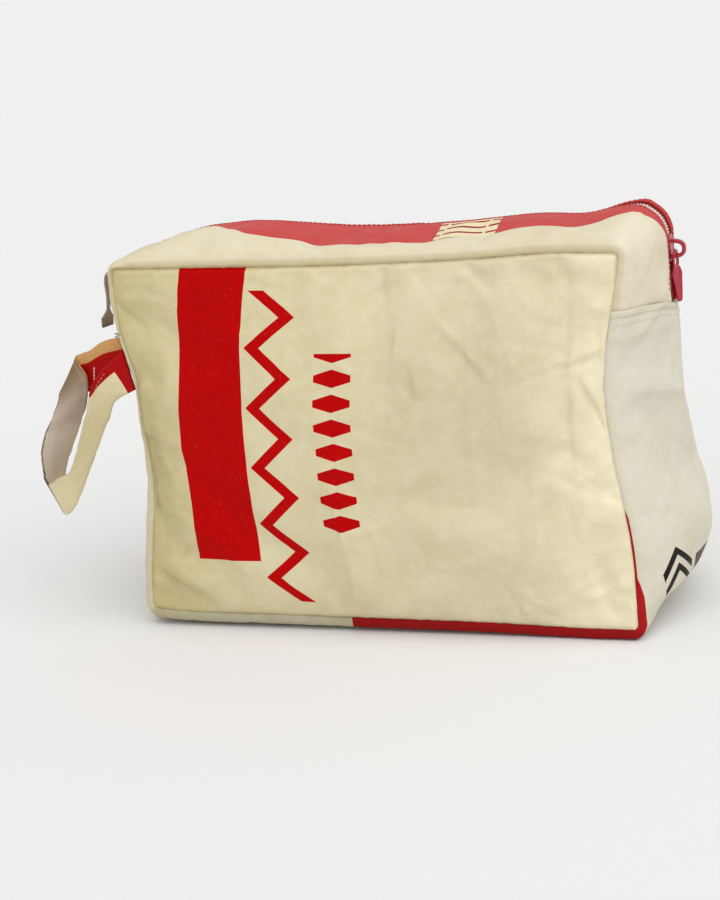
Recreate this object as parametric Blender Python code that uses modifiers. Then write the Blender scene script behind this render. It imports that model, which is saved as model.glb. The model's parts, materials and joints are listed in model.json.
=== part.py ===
"""Zipped wash bag sewn from recycled sack cloth, with a wrist strap on its left end.

The bag lies along X, its front panel faces -Y and it stands on its flat bottom at z = 0.
Each sewn piece is a sheet bent over the same soft box: a plain box with rolled edges is
described first, and soften() then pulls that box into the slumped shape of the filled bag.
"""
import math

import bmesh
import bpy
import numpy as np
from mathutils import Matrix, Vector

# Driving dimensions in metres
LENGTH = 0.270             # seam to seam along the front panel
PANEL_HEIGHT = 0.194       # seam to seam up the front panel
DEPTH = 0.120              # front seam to back seam
ROLL_RADIUS = 0.0035       # soft roll where the band turns into a panel seam
SEAM_LIP = 0.0010          # flat of the roll beside the seam
CORNER_RADIUS = 0.003      # panel corners
END_SEAM_HEIGHT = 0.161    # seams across the ends, where the top strips meet the base band
LEAN_START = 0.010         # behind the zip the bag starts to drop and lean
WALL = 0.0012              # thickness of the sack cloth with its seam layers
SEAM_GAP = 0.0003          # between two pieces sewn edge to edge
END_SEAM_GAP = 0.0006      # across the ends, between the top strips and the base band

ZIP_OPENING = 0.014        # width between the two top strips
TAPE_WIDTH = 0.012         # each zip tape
TAPE_THICKNESS = 0.0008
TAPE_GAP = 0.0008          # under the cloth that covers the tape
TAPE_TUCK = 0.005          # tape ends under the base band
CHAIN_WIDTH = 0.0056       # closed row of teeth
CHAIN_THICKNESS = 0.0022

SLIDER_HEIGHT = 0.184      # middle of the slider above the bottom, on the right end
SLIDER_LENGTH = 0.012
SLIDER_WIDTH = 0.0092
SLIDER_PLATE = 0.0010
SLIDER_CLEARANCE = 0.00035
FLANGE_THICKNESS = 0.0007
TAPE_SLOT = 0.0015         # slot between the upper and lower flanges
BAIL_LENGTH = 0.008
BAIL_WIDTH = 0.0020
BAIL_WIRE = 0.0012
BAIL_INSIDE = 0.0023       # free height under the bail
PULL_LENGTH = 0.0220       # pivot to tip
PULL_WIDTH = 0.0068
PULL_THICKNESS = 0.0014
PULL_EYE_WIDTH = 0.0032
PULL_EYE_LENGTH = 0.0051
PULL_BAR = 0.0013
PULL_CLEARANCE = 0.0005     # between the hanging pull and the slider's plate

STRAP_THICKNESS = 0.0016
STRAP_ROOT_GAP = 0.0010

ROLL = ROLL_RADIUS + SEAM_LIP
HALF_LENGTH = LENGTH / 2
HALF_DEPTH = DEPTH / 2
PANEL_LOW = ROLL
PANEL_HIGH = PANEL_LOW + PANEL_HEIGHT
PANEL_MIDDLE = (PANEL_LOW + PANEL_HIGH) / 2
CHAIN_INSET = WALL + TAPE_GAP + TAPE_THICKNESS / 2    # middle plane of teeth and tapes

# How far the band's middle line stands out from its two seams, against height or length
CROWN_HEIGHTS = (0.0, 0.020, 0.048, 0.080, 0.120, 0.160, 0.190, 0.210)
RIGHT_CROWN = (0.006, 0.016, 0.0232, 0.0178, 0.0153, 0.0137, 0.0115, 0.0110)
LEFT_CROWN = (0.000, 0.001, 0.0030, 0.0060, 0.0095, 0.0160, 0.0190, 0.0160)
CROWN_LENGTHS = (-0.145, -0.125, -0.100, -0.070, -0.010, 0.045, 0.078, 0.110, 0.128, 0.145)
TOP_CROWN = (-0.012, -0.005, 0.0040, 0.0088, 0.0050, 0.0054, 0.0072, 0.0060, 0.0100, 0.0125)
RIDGE = -0.007             # depth of the top's peak, along the front edge of the zip

# Rounding of the band's corners at mid depth: inwards, up or down, and reach along the end.
# Keys are (right or left, top or bottom)
CORNER_REACH = 0.026
CORNER_PULLS = {
    (1, 1): (0.0068, 0.0032, 0.014),
    (1, -1): (0.0068, 0.0068, CORNER_REACH),
    (-1, 1): (0.0020, 0.0020, CORNER_REACH),
    (-1, -1): (0.0020, 0.0020, CORNER_REACH),
}

# The bottom's front edge rises a little off the floor, most at its left end
LIFT_LENGTHS = (-0.14, -0.12, -0.06, 0.0, 0.06, 0.11, 0.14)
FRONT_LIFT = (0.0045, 0.0030, 0.0024, 0.0019, 0.0014, 0.0, 0.0)

# Main soft folds of the cloth: start and end of each fold line, its height and half width;
# a height below 0 is a hollow. Places are (x, z) on the panels and (y, z) on the right end
FRONT_FOLDS = (
    ((0.112, 0.180), (0.110, 0.100), -0.0018, 0.010),
    ((0.060, 0.185), (0.052, 0.148), -0.0017, 0.011),
    ((0.084, 0.172), (0.080, 0.112), 0.0018, 0.013),
    ((0.113, 0.050), (0.119, 0.020), -0.0017, 0.010),
    ((0.030, 0.062), (0.088, 0.046), 0.0018, 0.013),
    ((0.013, 0.180), (0.010, 0.140), -0.0015, 0.010),
    ((-0.018, 0.090), (-0.010, 0.028), 0.0016, 0.011),
    ((-0.050, 0.150), (-0.030, 0.120), 0.0016, 0.013),
    ((-0.118, 0.172), (-0.098, 0.150), -0.0018, 0.010),
    ((-0.122, 0.120), (-0.116, 0.070), 0.0018, 0.011),
    ((-0.085, 0.075), (-0.060, 0.050), -0.0016, 0.012),
    ((-0.118, 0.034), (-0.098, 0.024), 0.0016, 0.009),
)
BACK_FOLDS = (
    ((-0.105, 0.165), (-0.085, 0.105), -0.0018, 0.012),
    ((-0.055, 0.140), (-0.060, 0.080), 0.0018, 0.013),
    ((-0.015, 0.170), (0.005, 0.125), -0.0016, 0.012),
    ((0.020, 0.080), (0.060, 0.055), 0.0018, 0.013),
    ((0.070, 0.160), (0.085, 0.110), 0.0016, 0.013),
    ((0.110, 0.070), (0.105, 0.030), -0.0016, 0.011),
    ((-0.030, 0.045), (0.000, 0.030), -0.0016, 0.011),
)
RIGHT_FOLDS = (
    ((-0.040, 0.152), (-0.022, 0.168), 0.0018, 0.008),
    ((-0.040, 0.128), (-0.008, 0.116), 0.0018, 0.009),
    ((-0.030, 0.108), (-0.024, 0.086), -0.0017, 0.010),
    ((0.010, 0.100), (0.028, 0.064), 0.0018, 0.011),
    ((0.024, 0.140), (0.034, 0.116), -0.0017, 0.009),
    ((-0.020, 0.058), (0.004, 0.040), 0.0015, 0.011),
)

# Wrist strap: its upper edge and lower edge at each fold line, from the rear end of the
# loop at the bag, round the fold and the bottom turn, and back to the front end
STRAP_EDGES = (
    ((-0.1462, -0.0485, 0.1545), (-0.1464, -0.0485, 0.1292)),
    ((-0.1540, -0.0490, 0.1500), (-0.1590, -0.0490, 0.1292)),
    ((-0.1592, -0.0512, 0.1482), (-0.1716, -0.0512, 0.1305)),
    ((-0.1550, -0.0540, 0.1380), (-0.1731, -0.0548, 0.1248)),
    ((-0.1580, -0.0515, 0.1251), (-0.1745, -0.0620, 0.1180)),
    ((-0.1658, -0.0460, 0.1123), (-0.1785, -0.0650, 0.1090)),
    ((-0.1735, -0.0420, 0.0997), (-0.1822, -0.0640, 0.1000)),
    ((-0.1812, -0.0400, 0.0847), (-0.1842, -0.0610, 0.0925)),
    ((-0.1846, -0.0420, 0.0700), (-0.1850, -0.0595, 0.0855)),
    ((-0.1828, -0.0460, 0.0589), (-0.1836, -0.0590, 0.0800)),
    ((-0.1748, -0.0490, 0.0635), (-0.1766, -0.0620, 0.0835)),
    ((-0.1660, -0.0505, 0.0785), (-0.1680, -0.0680, 0.0950)),
    ((-0.1536, -0.0510, 0.1026), (-0.1573, -0.0725, 0.1115)),
    ((-0.1458, -0.0520, 0.1165), (-0.1505, -0.0715, 0.1265)),
    ((-0.1410, -0.0520, 0.1250), (-0.1450, -0.0650, 0.1400)),
)
STRAP_STEPS = 4            # mesh steps between two fold lines
STRAP_ROOT_REAR = (-0.0535, 0.1548, 0.1300)    # y, upper z and lower z of the rear end
STRAP_ROOT_FRONT = (-0.0575, 0.1310, 0.1530)   # the front end turns its edges over

CLOTH_CREAM = (227, 213, 183)
CLOTH_SIDE = (220, 211, 188)
CLOTH_TOP = (204, 92, 86)
TAPE_RED = (178, 62, 70)
TEETH_WHITE = (232, 222, 214)
METAL_RED = (167, 54, 66)
STRAP_CLOTH = (210, 194, 160)


def smooth_step(value, low, high):
    """0 below low, 1 above high, with a soft rise between them."""
    t = min(max((value - low) / (high - low), 0.0), 1.0)
    return t * t * (3 - 2 * t)


def hump(value, centre, width):
    """A smooth bump of height 1."""
    return math.exp(-((value - centre) / width) ** 2)


def soft_curve(value, keys, heights):
    """A smooth curve through the given heights."""
    keys = np.asarray(keys)
    heights = np.asarray(heights)
    slopes = np.gradient(heights, keys)
    value = min(max(value, keys[0]), keys[-1])
    i = min(int(np.searchsorted(keys, value, side="right")) - 1, len(keys) - 2)
    span = keys[i + 1] - keys[i]
    t = (value - keys[i]) / span
    return float(
        (2 * t ** 3 - 3 * t ** 2 + 1) * heights[i]
        + (t ** 3 - 2 * t ** 2 + t) * span * slopes[i]
        + (3 * t ** 2 - 2 * t ** 3) * heights[i + 1]
        + (t ** 3 - t ** 2) * span * slopes[i + 1]
    )


def fold_height(u, v, folds):
    """How far the soft folds raise the cloth at one of its places."""
    total = 0.0
    for (start_u, start_v), (end_u, end_v), height, half_width in folds:
        along_u = end_u - start_u
        along_v = end_v - start_v
        t = ((u - start_u) * along_u + (v - start_v) * along_v) / (along_u ** 2 + along_v ** 2)
        t = min(max(t, 0.0), 1.0)
        away = math.hypot(u - start_u - along_u * t, v - start_v - along_v * t)
        total += height * math.exp(-(away / half_width) ** 2)
    return total


def panel_fold(x, z, side):
    """The folds of the front or back panel, none at its seams."""
    inward = min(HALF_LENGTH - abs(x), z - PANEL_LOW, PANEL_HIGH - z)
    folds = FRONT_FOLDS if side < 0 else BACK_FOLDS
    return fold_height(x, z, folds) * smooth_step(inward, 0.002, 0.014)


def end_fold(x, y, z):
    """The folds of the right end, none at its seams, at the zip, or high and low."""
    across = 1 - smooth_step(abs(y), 0.040, 0.053)
    upright = smooth_step(z, 0.014, 0.028) * (1 - smooth_step(z, 0.176, 0.190))
    near_zip = smooth_step(z, 0.138, 0.153) * (1 - smooth_step(abs(y), 0.011, 0.022))
    share = across * upright * (1 - near_zip) * smooth_step(x, 0.130, OUT_X)
    return fold_height(y, z, RIGHT_FOLDS) * share


def crown(x, z):
    """How far the band's middle stands out at a point of the box's outline, as (dx, dz)."""
    near_end = smooth_step(abs(x), 0.112, 0.136)
    near_top = smooth_step(z, 0.175, 0.200)
    if x > 0:
        outward = soft_curve(z, CROWN_HEIGHTS, RIGHT_CROWN)
    else:
        outward = -soft_curve(z, CROWN_HEIGHTS, LEFT_CROWN)
    return outward * near_end, soft_curve(x, CROWN_LENGTHS, TOP_CROWN) * near_top


def top_middle(x):
    """1 over the long middle of the top, 0 at its two ends."""
    return 1 - smooth_step(abs(x), 0.105, 0.138)


def top_share(x, y, share):
    """The top's crown across the depth: a ridge beside the zip, rounder at the two ends."""
    if y < RIDGE:
        peak = 1 - ((y - RIDGE) / (HALF_DEPTH + RIDGE)) ** 2
    else:
        peak = (HALF_DEPTH - y) / (HALF_DEPTH - RIDGE)
    return share + (peak - share) * top_middle(x)


def corner_pull(x, z):
    """How far a corner of the band is drawn in at mid depth, as (dx, dz)."""
    half_height = (OUT_HIGH - OUT_LOW) / 2
    above = z - PANEL_MIDDLE
    side = 1 if x > 0 else -1
    level = 1 if above > 0 else -1
    inward, upright, reach = CORNER_PULLS[(side, level)]
    near_end = smooth_step(abs(x), OUT_X - CORNER_REACH, OUT_X)
    nearness = near_end * smooth_step(abs(above), half_height - reach, half_height)
    return -side * inward * nearness, -level * upright * nearness


def front_lift(x, y, z):
    """Small rises of the front seams: along the bottom edge and near the top right corner."""
    height = z / PANEL_HIGH
    edge = soft_curve(x, LIFT_LENGTHS, FRONT_LIFT) * smooth_step(-y, 0.035, HALF_DEPTH)
    seam = 0.0017 * smooth_step(z, 0.001, PANEL_LOW) * (1 - smooth_step(z, PANEL_LOW, 0.030))
    ripple = 0.0016 * hump(x, 0.10, 0.03) * smooth_step(height, 0.7, 1.0)
    return (
        edge * (1 - smooth_step(height, 0.0, 0.3))
        + seam * smooth_step(-y, 0.050, HALF_DEPTH)
        + ripple * smooth_step(-y, 0.0, HALF_DEPTH)
    )


def soften(x, y, z):
    """Pull a point of the plain box into the slumped shape of the filled bag."""
    height = min(max(z / PANEL_HIGH, 0.0), 1.03)
    side = min(abs(x) / HALF_LENGTH, 1.0)
    outward = math.copysign(1.0, x)
    across = min(abs(y) / HALF_DEPTH, 1.0)
    behind = smooth_step(y, LEAN_START, HALF_DEPTH)

    # the ends are drawn in at mid height, most of all along the panel seams
    left_waist = 0.0120 * hump(height, 0.45, 0.24) + 0.0045 * (1 - smooth_step(height, 0.1, 0.6))
    right_waist = 0.0115 * hump(height, 0.66, 0.26)
    left_waist *= 0.45 + 0.55 * across ** 2
    right_waist *= 0.25 + 0.75 * across ** 2
    waist = left_waist if x < 0 else right_waist
    lean = 0.012 * behind * smooth_step(height, 0.3, 1.0)
    soft_x = x - outward * side ** 3 * (waist + lean)

    # the panels belly out and the bag narrows towards its zip
    along = max(1 - side ** 2, 0.0) ** 0.8
    up = max(1 - ((z - PANEL_MIDDLE) / (PANEL_HEIGHT / 2)) ** 2, 0.0) ** 0.8
    soft_y = y * (1 + 0.16 * along * up) * (1 - 0.14 * smooth_step(height, 0.25, 1.0))

    # the top sags in the middle and drops towards the back, from the ridge on
    drop_start = LEAN_START + (RIDGE - LEAN_START) * top_middle(x)
    drop = 0.010 * smooth_step(y, drop_start, HALF_DEPTH) * smooth_step(height, 0.5, 1.0)
    sag = 0.0015 * hump(x, -0.03, 0.09) * smooth_step(height, 0.8, 1.0)
    return Vector((soft_x, soft_y, z + front_lift(x, y, z) - drop - sag))


def straight(start, end, normal, count):
    """Stations (x, z, normal x, normal z) along a straight side, its last point left off."""
    steps = np.linspace(0, 1, count, endpoint=False)
    return [
        (start[0] + (end[0] - start[0]) * t, start[1] + (end[1] - start[1]) * t, *normal)
        for t in steps
    ]


def quarter(centre_x, centre_z, first_angle, count):
    """Stations round a quarter of an outline corner, anticlockwise."""
    radius = CORNER_RADIUS + ROLL
    stations = []
    for step in range(count):
        angle = math.radians(first_angle + 90 * step / count)
        nx = math.cos(angle)
        nz = math.sin(angle)
        stations.append((centre_x + radius * nx, centre_z + radius * nz, nx, nz))
    return stations


FLAT_EDGE = HALF_DEPTH - ROLL_RADIUS
OUT_X = HALF_LENGTH + ROLL
OUT_LOW = PANEL_LOW - ROLL
OUT_HIGH = PANEL_HIGH + ROLL
TURN = CORNER_RADIUS + ROLL


def base_route(seam_height):
    """Down the left end, along the bottom and up the right end."""
    return (
        straight((-OUT_X, seam_height), (-OUT_X, OUT_LOW + TURN), (-1, 0), 10)
        + quarter(-OUT_X + TURN, OUT_LOW + TURN, 180, 4)
        + straight((-OUT_X + TURN, OUT_LOW), (OUT_X - TURN, OUT_LOW), (0, -1), 12)
        + quarter(OUT_X - TURN, OUT_LOW + TURN, 270, 4)
        + straight((OUT_X, OUT_LOW + TURN), (OUT_X, seam_height), (1, 0), 14)
        + [(OUT_X, seam_height, 1, 0)]
    )


def top_route(right_height, left_height):
    """Up the right end, over the top and down the left end."""
    return (
        straight((OUT_X, right_height), (OUT_X, OUT_HIGH - TURN), (1, 0), 8)
        + quarter(OUT_X - TURN, OUT_HIGH - TURN, 0, 4)
        + straight((OUT_X - TURN, OUT_HIGH), (-OUT_X + TURN, OUT_HIGH), (0, 1), 16)
        + quarter(-OUT_X + TURN, OUT_HIGH - TURN, 90, 4)
        + straight((-OUT_X, OUT_HIGH - TURN), (-OUT_X, left_height), (-1, 0), 6)
        + [(-OUT_X, left_height, -1, 0)]
    )


def band_point(station, y, roll_inset=0.0, under=0.0):
    """A point of the band at one station of its outline and one depth, or under it."""
    x, z, nx, nz = station
    share = max(1 - (y / HALF_DEPTH) ** 2, 0.0)
    pull_x, pull_z = corner_pull(x, z)
    crown_x, crown_z = crown(x, z)
    end_share = share
    if x < 0:
        end_share = 0.35 * share + 0.65 * (1 - abs(y) / HALF_DEPTH)
    # the strap draws the left end's roll flat
    flatness = 0.85 * smooth_step(z, 0.055, 0.125) * (1 - smooth_step(x, -HALF_LENGTH, -0.120))
    inset = roll_inset + max(ROLL_RADIUS - roll_inset, 0.0) * flatness + under
    return soften(
        x - nx * inset + crown_x * end_share + pull_x * share + end_fold(x, y, z),
        y,
        z - nz * inset + crown_z * top_share(x, y, share) + pull_z * share,
    )


def roll_section():
    """Depths and insets of the roll, from the panel seam in to where the band is flat."""
    section = [(HALF_DEPTH, ROLL)]
    for angle in (90, 60, 30):
        turn = math.radians(angle)
        depth = FLAT_EDGE + ROLL_RADIUS * math.sin(turn)
        section.append((depth, ROLL_RADIUS * (1 - math.cos(turn))))
    return section


def mirrored(section):
    """The same section on the front half, ordered from front to back."""
    return [(-depth, inset) for depth, inset in reversed(section)]


def add_sheet(name, rows, columns, place, thickness, offset, colour, roughness):
    """A grid bent by place(row, column) and given its thickness."""
    mesh = bpy.data.meshes.new(name)
    shape = bmesh.new()
    bmesh.ops.create_grid(shape, x_segments=columns - 1, y_segments=rows - 1, size=1.0)
    for vertex in shape.verts:
        column = round((vertex.co.x + 1) / 2 * (columns - 1))
        row = round((vertex.co.y + 1) / 2 * (rows - 1))
        vertex.co = place(row, column)
    shape.to_mesh(mesh)
    shape.free()
    mesh.shade_smooth()
    sheet = bpy.data.objects.new(name, mesh)
    parts.objects.link(sheet)
    solidify = sheet.modifiers.new("thickness", "SOLIDIFY")
    solidify.thickness = thickness
    solidify.offset = offset
    mesh.materials.append(make_material(name, colour, roughness))
    return sheet


def make_material(name, colour, roughness, metallic=0.0):
    """A plain coloured surface; colour is given as it looks on a screen, 0 to 255."""
    material = bpy.data.materials.new(name)
    material.use_nodes = True
    shader = material.node_tree.nodes["Principled BSDF"]
    linear = [((channel / 255 + 0.055) / 1.055) ** 2.4 for channel in colour]
    shader.inputs["Base Color"].default_value = (*linear, 1)
    shader.inputs["Roughness"].default_value = roughness
    shader.inputs["Metallic"].default_value = metallic
    return material


def add_panel(name, side, colour):
    """A panel with rounded corners, edge to edge with the band's rolls."""
    half_length = HALF_LENGTH - SEAM_GAP
    half_height = PANEL_HEIGHT / 2 - SEAM_GAP
    radius = CORNER_RADIUS - SEAM_GAP
    bend = math.tan(math.radians(22.5)) * radius

    def spread(half, count):
        flat = half - radius
        middle = list(np.linspace(-flat, flat, count))
        return [-half, -flat - bend] + middle + [flat + bend, half]

    columns = spread(half_length, 25)
    rows = spread(half_height, 18)

    def place(row, column):
        x = columns[column] * -side
        z = rows[row]
        past_x = abs(x) - (half_length - radius)
        past_z = abs(z) - (half_height - radius)
        if past_x > 0 and past_z > 0:
            pull_in = max(past_x, past_z) / math.hypot(past_x, past_z)
            x = math.copysign(half_length - radius + past_x * pull_in, x)
            z = math.copysign(half_height - radius + past_z * pull_in, z)
        height = PANEL_MIDDLE + z
        return soften(x, side * (HALF_DEPTH + panel_fold(x, height, side)), height)

    return add_sheet(name, len(rows), len(columns), place, WALL, -1, colour, 0.5)


def add_band(name, route, section, thickness, offset, under, colour, roughness=0.5):
    """A strip that follows a route of the outline and spans a section of the depth."""

    def place(row, column):
        y, roll_inset = section[column]
        return band_point(route[row], y, roll_inset, under)

    return add_sheet(name, len(route), len(section), place, thickness, offset, colour, roughness)


def add_zip(colour_top):
    """Top strips, the tapes under them and the closed row of teeth."""
    seam = END_SEAM_HEIGHT + END_SEAM_GAP / 2
    strip_route = top_route(seam, seam)
    tuck = END_SEAM_HEIGHT - TAPE_TUCK
    tape_route = top_route(tuck, tuck)
    tape_inset = CHAIN_INSET - TAPE_THICKNESS / 2
    tape_edge = CHAIN_WIDTH / 2 + SEAM_GAP
    covered = list(np.linspace(ZIP_OPENING / 2, tape_edge + TAPE_WIDTH, 3))
    beyond = list(np.linspace(covered[-1], FLAT_EDGE, 5))[1:]
    tape = [(depth, 0.0) for depth in [tape_edge] + covered]
    strip = [(depth, 0.0) for depth in covered + beyond] + roll_section()[::-1]
    for side_name, order in (("front", mirrored), ("back", list)):
        add_band("zip_strip_" + side_name, strip_route, order(strip), WALL, -1, 0.0, colour_top)
        add_band("zip_tape_" + side_name, tape_route, order(tape), TAPE_THICKNESS, -1,
                 tape_inset, TAPE_RED, 0.8)
    chain_route = top_route(SLIDER_HEIGHT - SLIDER_LENGTH * 0.1, seam + SEAM_GAP)
    chain = [(-CHAIN_WIDTH / 2, 0.0), (0.0, 0.0), (CHAIN_WIDTH / 2, 0.0)]
    add_band("zip_teeth", chain_route, chain, CHAIN_THICKNESS, -1,
             CHAIN_INSET - CHAIN_THICKNESS / 2, TEETH_WHITE, 0.4)


def slider_frame():
    """Local axes at the slider: X up the closed teeth, Z out of the bag."""
    step = 0.001
    here = band_point((OUT_X, SLIDER_HEIGHT, 1, 0), 0.0, under=CHAIN_INSET)
    above = band_point((OUT_X, SLIDER_HEIGHT + step, 1, 0), 0.0, under=CHAIN_INSET)
    along = (above - here).normalized()
    across = Vector((0, -1, 0))
    outward = along.cross(across)
    axes = Matrix((along, across, outward)).transposed().to_4x4()
    return Matrix.Translation(here) @ axes


def add_block(name, size, centre, frame, collection):
    """A box of the given size, set in the slider's axes."""
    mesh = bpy.data.meshes.new(name)
    shape = bmesh.new()
    bmesh.ops.create_cube(shape, size=1.0)
    bmesh.ops.scale(shape, vec=size, verts=shape.verts)
    shape.to_mesh(mesh)
    shape.free()
    block = bpy.data.objects.new(name, mesh)
    collection.objects.link(block)
    block.matrix_world = frame @ Matrix.Translation(centre)
    return block


def add_rod(name, radius, length, centre, frame, collection, turn):
    """A round rod; turn is its rotation in the slider's axes."""
    mesh = bpy.data.meshes.new(name)
    shape = bmesh.new()
    bmesh.ops.create_cone(shape, cap_ends=True, segments=16, radius1=radius, radius2=radius,
                          depth=length)
    shape.to_mesh(mesh)
    shape.free()
    rod = bpy.data.objects.new(name, mesh)
    collection.objects.link(rod)
    rod.matrix_world = frame @ Matrix.Translation(centre) @ turn
    return rod


def combine(body, helper, operation):
    """Join a helper to a body, or cut the body with it."""
    helper.hide_render = True
    helper.display_type = "WIRE"
    boolean = body.modifiers.new(helper.name, "BOOLEAN")
    boolean.operation = operation
    boolean.object = helper


def add_slider(frame):
    """Slider: two plates on a post, flanges that trap the tapes, and the bail."""
    inner = CHAIN_THICKNESS / 2 + SLIDER_CLEARANCE
    plate_middle = inner + SLIDER_PLATE / 2
    slider = add_block("zip_slider", (SLIDER_LENGTH, SLIDER_WIDTH, SLIDER_PLATE),
                       (0, 0, plate_middle), frame, parts)
    lower = add_block("slider_lower_plate", (SLIDER_LENGTH, SLIDER_WIDTH, SLIDER_PLATE),
                      (0, 0, -plate_middle), frame, cutters)
    post_place = (-SLIDER_LENGTH * 0.32, 0, 0)
    post = add_rod("slider_post", 0.0014, 2 * plate_middle, post_place, frame, cutters, Matrix())
    combine(slider, post, "UNION")
    combine(slider, lower, "UNION")
    flange_height = inner - TAPE_SLOT / 2 + SLIDER_PLATE / 2
    flange_middle = TAPE_SLOT / 2 + flange_height / 2
    flange_y = SLIDER_WIDTH / 2 - FLANGE_THICKNESS / 2 - 0.0001
    for side_name, side in (("near", 1), ("far", -1)):
        for level_name, level in (("upper", 1), ("under", -1)):
            flange = add_block(f"slider_flange_{level_name}_{side_name}",
                               (SLIDER_LENGTH * 0.9, FLANGE_THICKNESS, flange_height),
                               (0, side * flange_y, level * flange_middle), frame, cutters)
            combine(slider, flange, "UNION")
    plate_top = inner + SLIDER_PLATE
    leg_height = BAIL_INSIDE + BAIL_WIRE + SLIDER_PLATE / 2
    leg_middle = plate_top - SLIDER_PLATE / 2 + leg_height / 2
    for leg_name, leg_side in (("upper", 1), ("lower", -1)):
        leg_x = leg_side * (BAIL_LENGTH - BAIL_WIRE) / 2
        leg = add_block("bail_leg_" + leg_name, (BAIL_WIRE, BAIL_WIDTH, leg_height),
                        (leg_x, 0, leg_middle), frame, cutters)
        combine(slider, leg, "UNION")
    bridge_z = plate_top + BAIL_INSIDE + BAIL_WIRE / 2
    bridge = add_block("bail_bridge", (BAIL_LENGTH - 0.0004, BAIL_WIDTH - 0.0002, BAIL_WIRE - 0.0001),
                       (0, 0, bridge_z), frame, cutters)
    combine(slider, bridge, "UNION")
    finish_metal(slider)
    return plate_top


def add_pull(frame, plate_top):
    """Pull tab that hangs on the bail; its origin is on the hinge axis."""
    pivot_height = plate_top + PULL_CLEARANCE + PULL_THICKNESS / 2
    pivot = frame @ Matrix.Translation((0, 0, pivot_height))
    top = PULL_BAR / 2
    length = PULL_LENGTH + top
    pull = add_block("zip_pull", (length, PULL_WIDTH, PULL_THICKNESS), (0, 0, 0), pivot, parts)
    for vertex in pull.data.vertices:
        vertex.co.x += top - length / 2
    bevel = pull.modifiers.new("rounded_corners", "BEVEL")
    bevel.width = 0.0016
    bevel.segments = 3
    bevel.affect = "EDGES"
    bevel.limit_method = "WEIGHT"
    weights = pull.data.attributes.new("bevel_weight_edge", "FLOAT", "EDGE")
    for edge in pull.data.edges:
        start, end = (pull.data.vertices[i].co for i in edge.vertices)
        if abs(start.z - end.z) > PULL_THICKNESS / 2:
            weights.data[edge.index].value = 1.0
    eye_middle = -PULL_BAR / 2 - PULL_EYE_LENGTH / 2
    eye = add_block("pull_eye", (PULL_EYE_LENGTH, PULL_EYE_WIDTH, 0.004),
                    (eye_middle, 0, 0), pivot, cutters)
    combine(pull, eye, "DIFFERENCE")
    slot_length = 0.0070
    slot = add_block("pull_slot", (slot_length, 0.0024, 0.004),
                     (-PULL_LENGTH + 0.0022 + slot_length / 2, 0, 0), pivot, cutters)
    combine(pull, slot, "DIFFERENCE")
    finish_metal(pull)


def finish_metal(body):
    """Painted metal with its flats kept sharp."""
    body.data.shade_smooth()
    body.data.set_sharp_from_angle(angle=math.radians(35))
    body.data.materials.append(make_material(body.name, METAL_RED, 0.35, 0.3))


def through_points(points, steps):
    """A smooth line through the points, with the given number of steps between two."""
    padded = [2 * points[0] - points[1]] + points + [2 * points[-1] - points[-2]]
    line = []
    for i in range(1, len(padded) - 2):
        before, start, end, after = padded[i - 1:i + 3]
        for step in range(steps):
            t = step / steps
            line.append(0.5 * (2 * start + (end - before) * t
                               + (2 * before - 5 * start + 4 * end - after) * t ** 2
                               + (3 * start - before - 3 * end + after) * t ** 3))
    line.append(points[-1])
    return line


def strap_root(root):
    """The two edge points of a strap end, just outside the left end of the band."""
    y, upper, lower = root
    edges = []
    for z in (upper, lower):
        point = band_point((-OUT_X, z, -1, 0), y)
        edges.append(point + Vector((-STRAP_ROOT_GAP, 0, 0)))
    return edges


def add_strap():
    """Wrist strap: one ribbon folded into a loop, both ends at the left end's front edge."""
    rear = strap_root(STRAP_ROOT_REAR)
    front = strap_root(STRAP_ROOT_FRONT)
    upper = [rear[0]] + [Vector(pair[0]) for pair in STRAP_EDGES] + [front[0]]
    lower = [rear[1]] + [Vector(pair[1]) for pair in STRAP_EDGES] + [front[1]]
    upper_line = through_points(upper, STRAP_STEPS)
    lower_line = through_points(lower, STRAP_STEPS)
    across = 4

    def place(row, column):
        return upper_line[row].lerp(lower_line[row], column / across)

    add_sheet("wrist_strap", len(upper_line), across + 1, place, STRAP_THICKNESS, 0,
              STRAP_CLOTH, 0.6)


for old in list(bpy.data.objects):
    bpy.data.objects.remove(old, do_unlink=True)
parts = bpy.data.collections.new("wash_bag")
cutters = bpy.data.collections.new("cutters")
bpy.context.scene.collection.children.link(parts)
bpy.context.scene.collection.children.link(cutters)

add_panel("front_panel", -1, CLOTH_CREAM)
add_panel("back_panel", 1, CLOTH_CREAM)
flat = [(depth, 0.0) for depth in np.linspace(-FLAT_EDGE, FLAT_EDGE, 13)]
base_section = mirrored(roll_section()[::-1]) + flat + roll_section()[::-1]
add_band("base_band", base_route(END_SEAM_HEIGHT - END_SEAM_GAP / 2), base_section, WALL, -1, 0.0,
         CLOTH_SIDE)
add_zip(CLOTH_TOP)
slider_axes = slider_frame()
add_pull(slider_axes, add_slider(slider_axes))
add_strap()
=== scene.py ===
"""Looks of a zipped wash bag sewn from printed sack cloth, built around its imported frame.

The cloth is one soft shell first. It repeats the outline and the shape functions of the part's
source in metres, is relaxed as cloth under a little pressure, and is then cut along its seams.
"""
import json
import math

import bmesh
import bpy
import numpy as np
from mathutils import Matrix, Vector


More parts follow.
